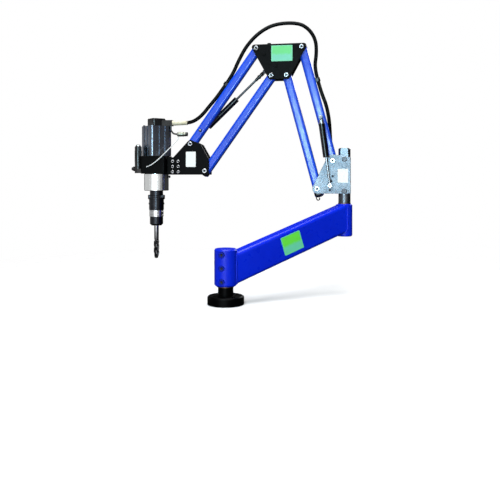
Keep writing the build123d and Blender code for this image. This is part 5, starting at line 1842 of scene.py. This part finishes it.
@dataclass(frozen=True)
class Studio:
    """Camera at the photograph's place, soft lights and a pale floor."""

    camera_place: Point = (402.8, -1866.9, 379.0)
    camera_turn: float = 10.0
    lens: float = 46.08
    sensor: float = 36.0
    sight: float = 50.0
    frame_drop: float = -0.146
    floor_size: float = 3.4
    floor_drop: float = 0.0004
    floor_tone: float = 0.9
    floor_roughness: float = 0.9
    floor_gloss: float = 0.1
    floor_fade: Pair = (0.35, 1.5)
    ambient: float = 0.04
    glow: float = 1.5
    glow_heading: Point = (-0.1, -0.985, -0.14)
    glow_edge: Pair = (0.9, 0.98)
    middle: Point = (0.0, 0.28, 0.45)

    def camera(self) -> None:
        """Sets the level camera."""
        data = bpy.data.cameras.new("photograph_camera")
        data.lens = self.lens
        data.sensor_width = self.sensor
        data.shift_y = self.frame_drop
        data.clip_end = self.sight
        camera = bpy.data.objects.new("photograph_camera", data)
        camera.location = Vector(self.camera_place) * MM
        camera.rotation_euler = (math.radians(90.0), 0.0, math.radians(self.camera_turn))
        bpy.context.scene.collection.objects.link(camera)
        bpy.context.scene.camera = camera

    def world(self) -> None:
        """White backdrop that lights the machine only faintly, with a low glow that the tool mirrors."""
        scene = bpy.context.scene
        scene.world = scene.world or bpy.data.worlds.new("studio_world")
        sheet = NodeSheet(scene.world, "BACKGROUND")
        heading = sheet.add("TexCoord").outputs["Generated"]
        facing = sheet.add("VectorMath", {0: heading, 1: self.glow_heading}, operation="DOT_PRODUCT")
        glow = sheet.spread(facing.outputs["Value"], self.glow_edge, (self.ambient, self.glow))
        seen = sheet.add("LightPath").outputs["Is Camera Ray"]
        sheet.set(Color=(*WHITE, 1.0), Strength=sheet.spread(seen, FULL, (glow, 1.0)))
        scene.view_settings.view_transform = "Standard"

    def floor(self) -> None:
        """Lays the pale floor under the base flange, fading out into the backdrop."""
        clear_selection()
        bpy.ops.mesh.primitive_plane_add(size=self.floor_size, location=(0.0, 0.0, -self.floor_drop))
        floor = bpy.context.object
        floor.name = "studio_floor"
        sheet = NodeSheet(bpy.data.materials.new("pale_floor"))
        place = sheet.add("TexCoord").outputs["Object"]
        reach = sheet.add("VectorMath", {0: place}, operation="LENGTH").outputs["Value"]
        sheet.set(
            Base_Color=(self.floor_tone, self.floor_tone, self.floor_tone, 1.0),
            Roughness=self.floor_roughness,
            Specular_IOR_Level=self.floor_gloss,
            Alpha=sheet.spread(reach, self.floor_fade, (1.0, 0.0)),
        )
        floor.data.materials.append(sheet.owner)
        floor.visible_diffuse = False
        floor.visible_glossy = False

    def lamps(self) -> None:
        """Hangs the soft boxes and the panels."""
        for lamp in (
            SoftBox("key_box", (-0.5, -2.3, 2.7), self.middle, size=(1.5, 1.5), power=49.0),
            SoftBox(
                "sheen_box",
                (0.03, -2.6, 0.66), (0.25, 0.28, 0.5),
                size=(0.45, 0.66),
                power=30.0,
                tint=(0.5, 0.85, 1.0),
            ),
            SoftBox("fill_box", (1.5, -2.0, 1.7), (0.15, 0.15, 0.15), size=(1.2, 1.2), power=15.0),
            SoftBox("top_box", (0.0, 0.2, 2.9), self.middle, size=(1.8, 1.8), power=80.0),
            SoftBox("back_box", (0.8, 2.8, 1.9), self.middle, size=(1.6, 1.6), power=40.0),
            Strip("left_strip", turn=-92.0, spread=64.0, heights=(-0.1, 0.85), brightness=0.6),
            Strip("near_left_strip", turn=-35.0, spread=50.0, heights=(-0.1, 0.6), brightness=0.75),
            Strip("front_strip", turn=18.0, spread=56.0, heights=(-0.1, 0.6), brightness=0.9),
            Strip("line_strip", turn=10.2, spread=11.0, heights=(-0.1, 0.7), brightness=2.4),
            Strip("right_strip", turn=58.0, spread=24.0, heights=(0.1, 0.85), brightness=0.4),
        ):
            lamp.build()

    def build(self) -> None:
        """Sets up the whole studio."""
        self.camera()
        self.world()
        self.floor()
        self.lamps()


def write_sizes() -> None:
    """Updates the view layer.
    """
    bpy.context.view_layer.update()


def main() -> None:
    """Builds the machine's looks in order."""
    logging.basicConfig(level=logging.INFO, format="%(message)s")
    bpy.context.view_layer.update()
    Studio().build()
    for run in CABLE_RUNS:
        run.build()
    dress_nodes()
    Boom().build()
    LinkPlates().build()
    HeadFittings().build()
    ToolEnd().build()
    write_sizes()


if __name__ == "__main__":
    main()
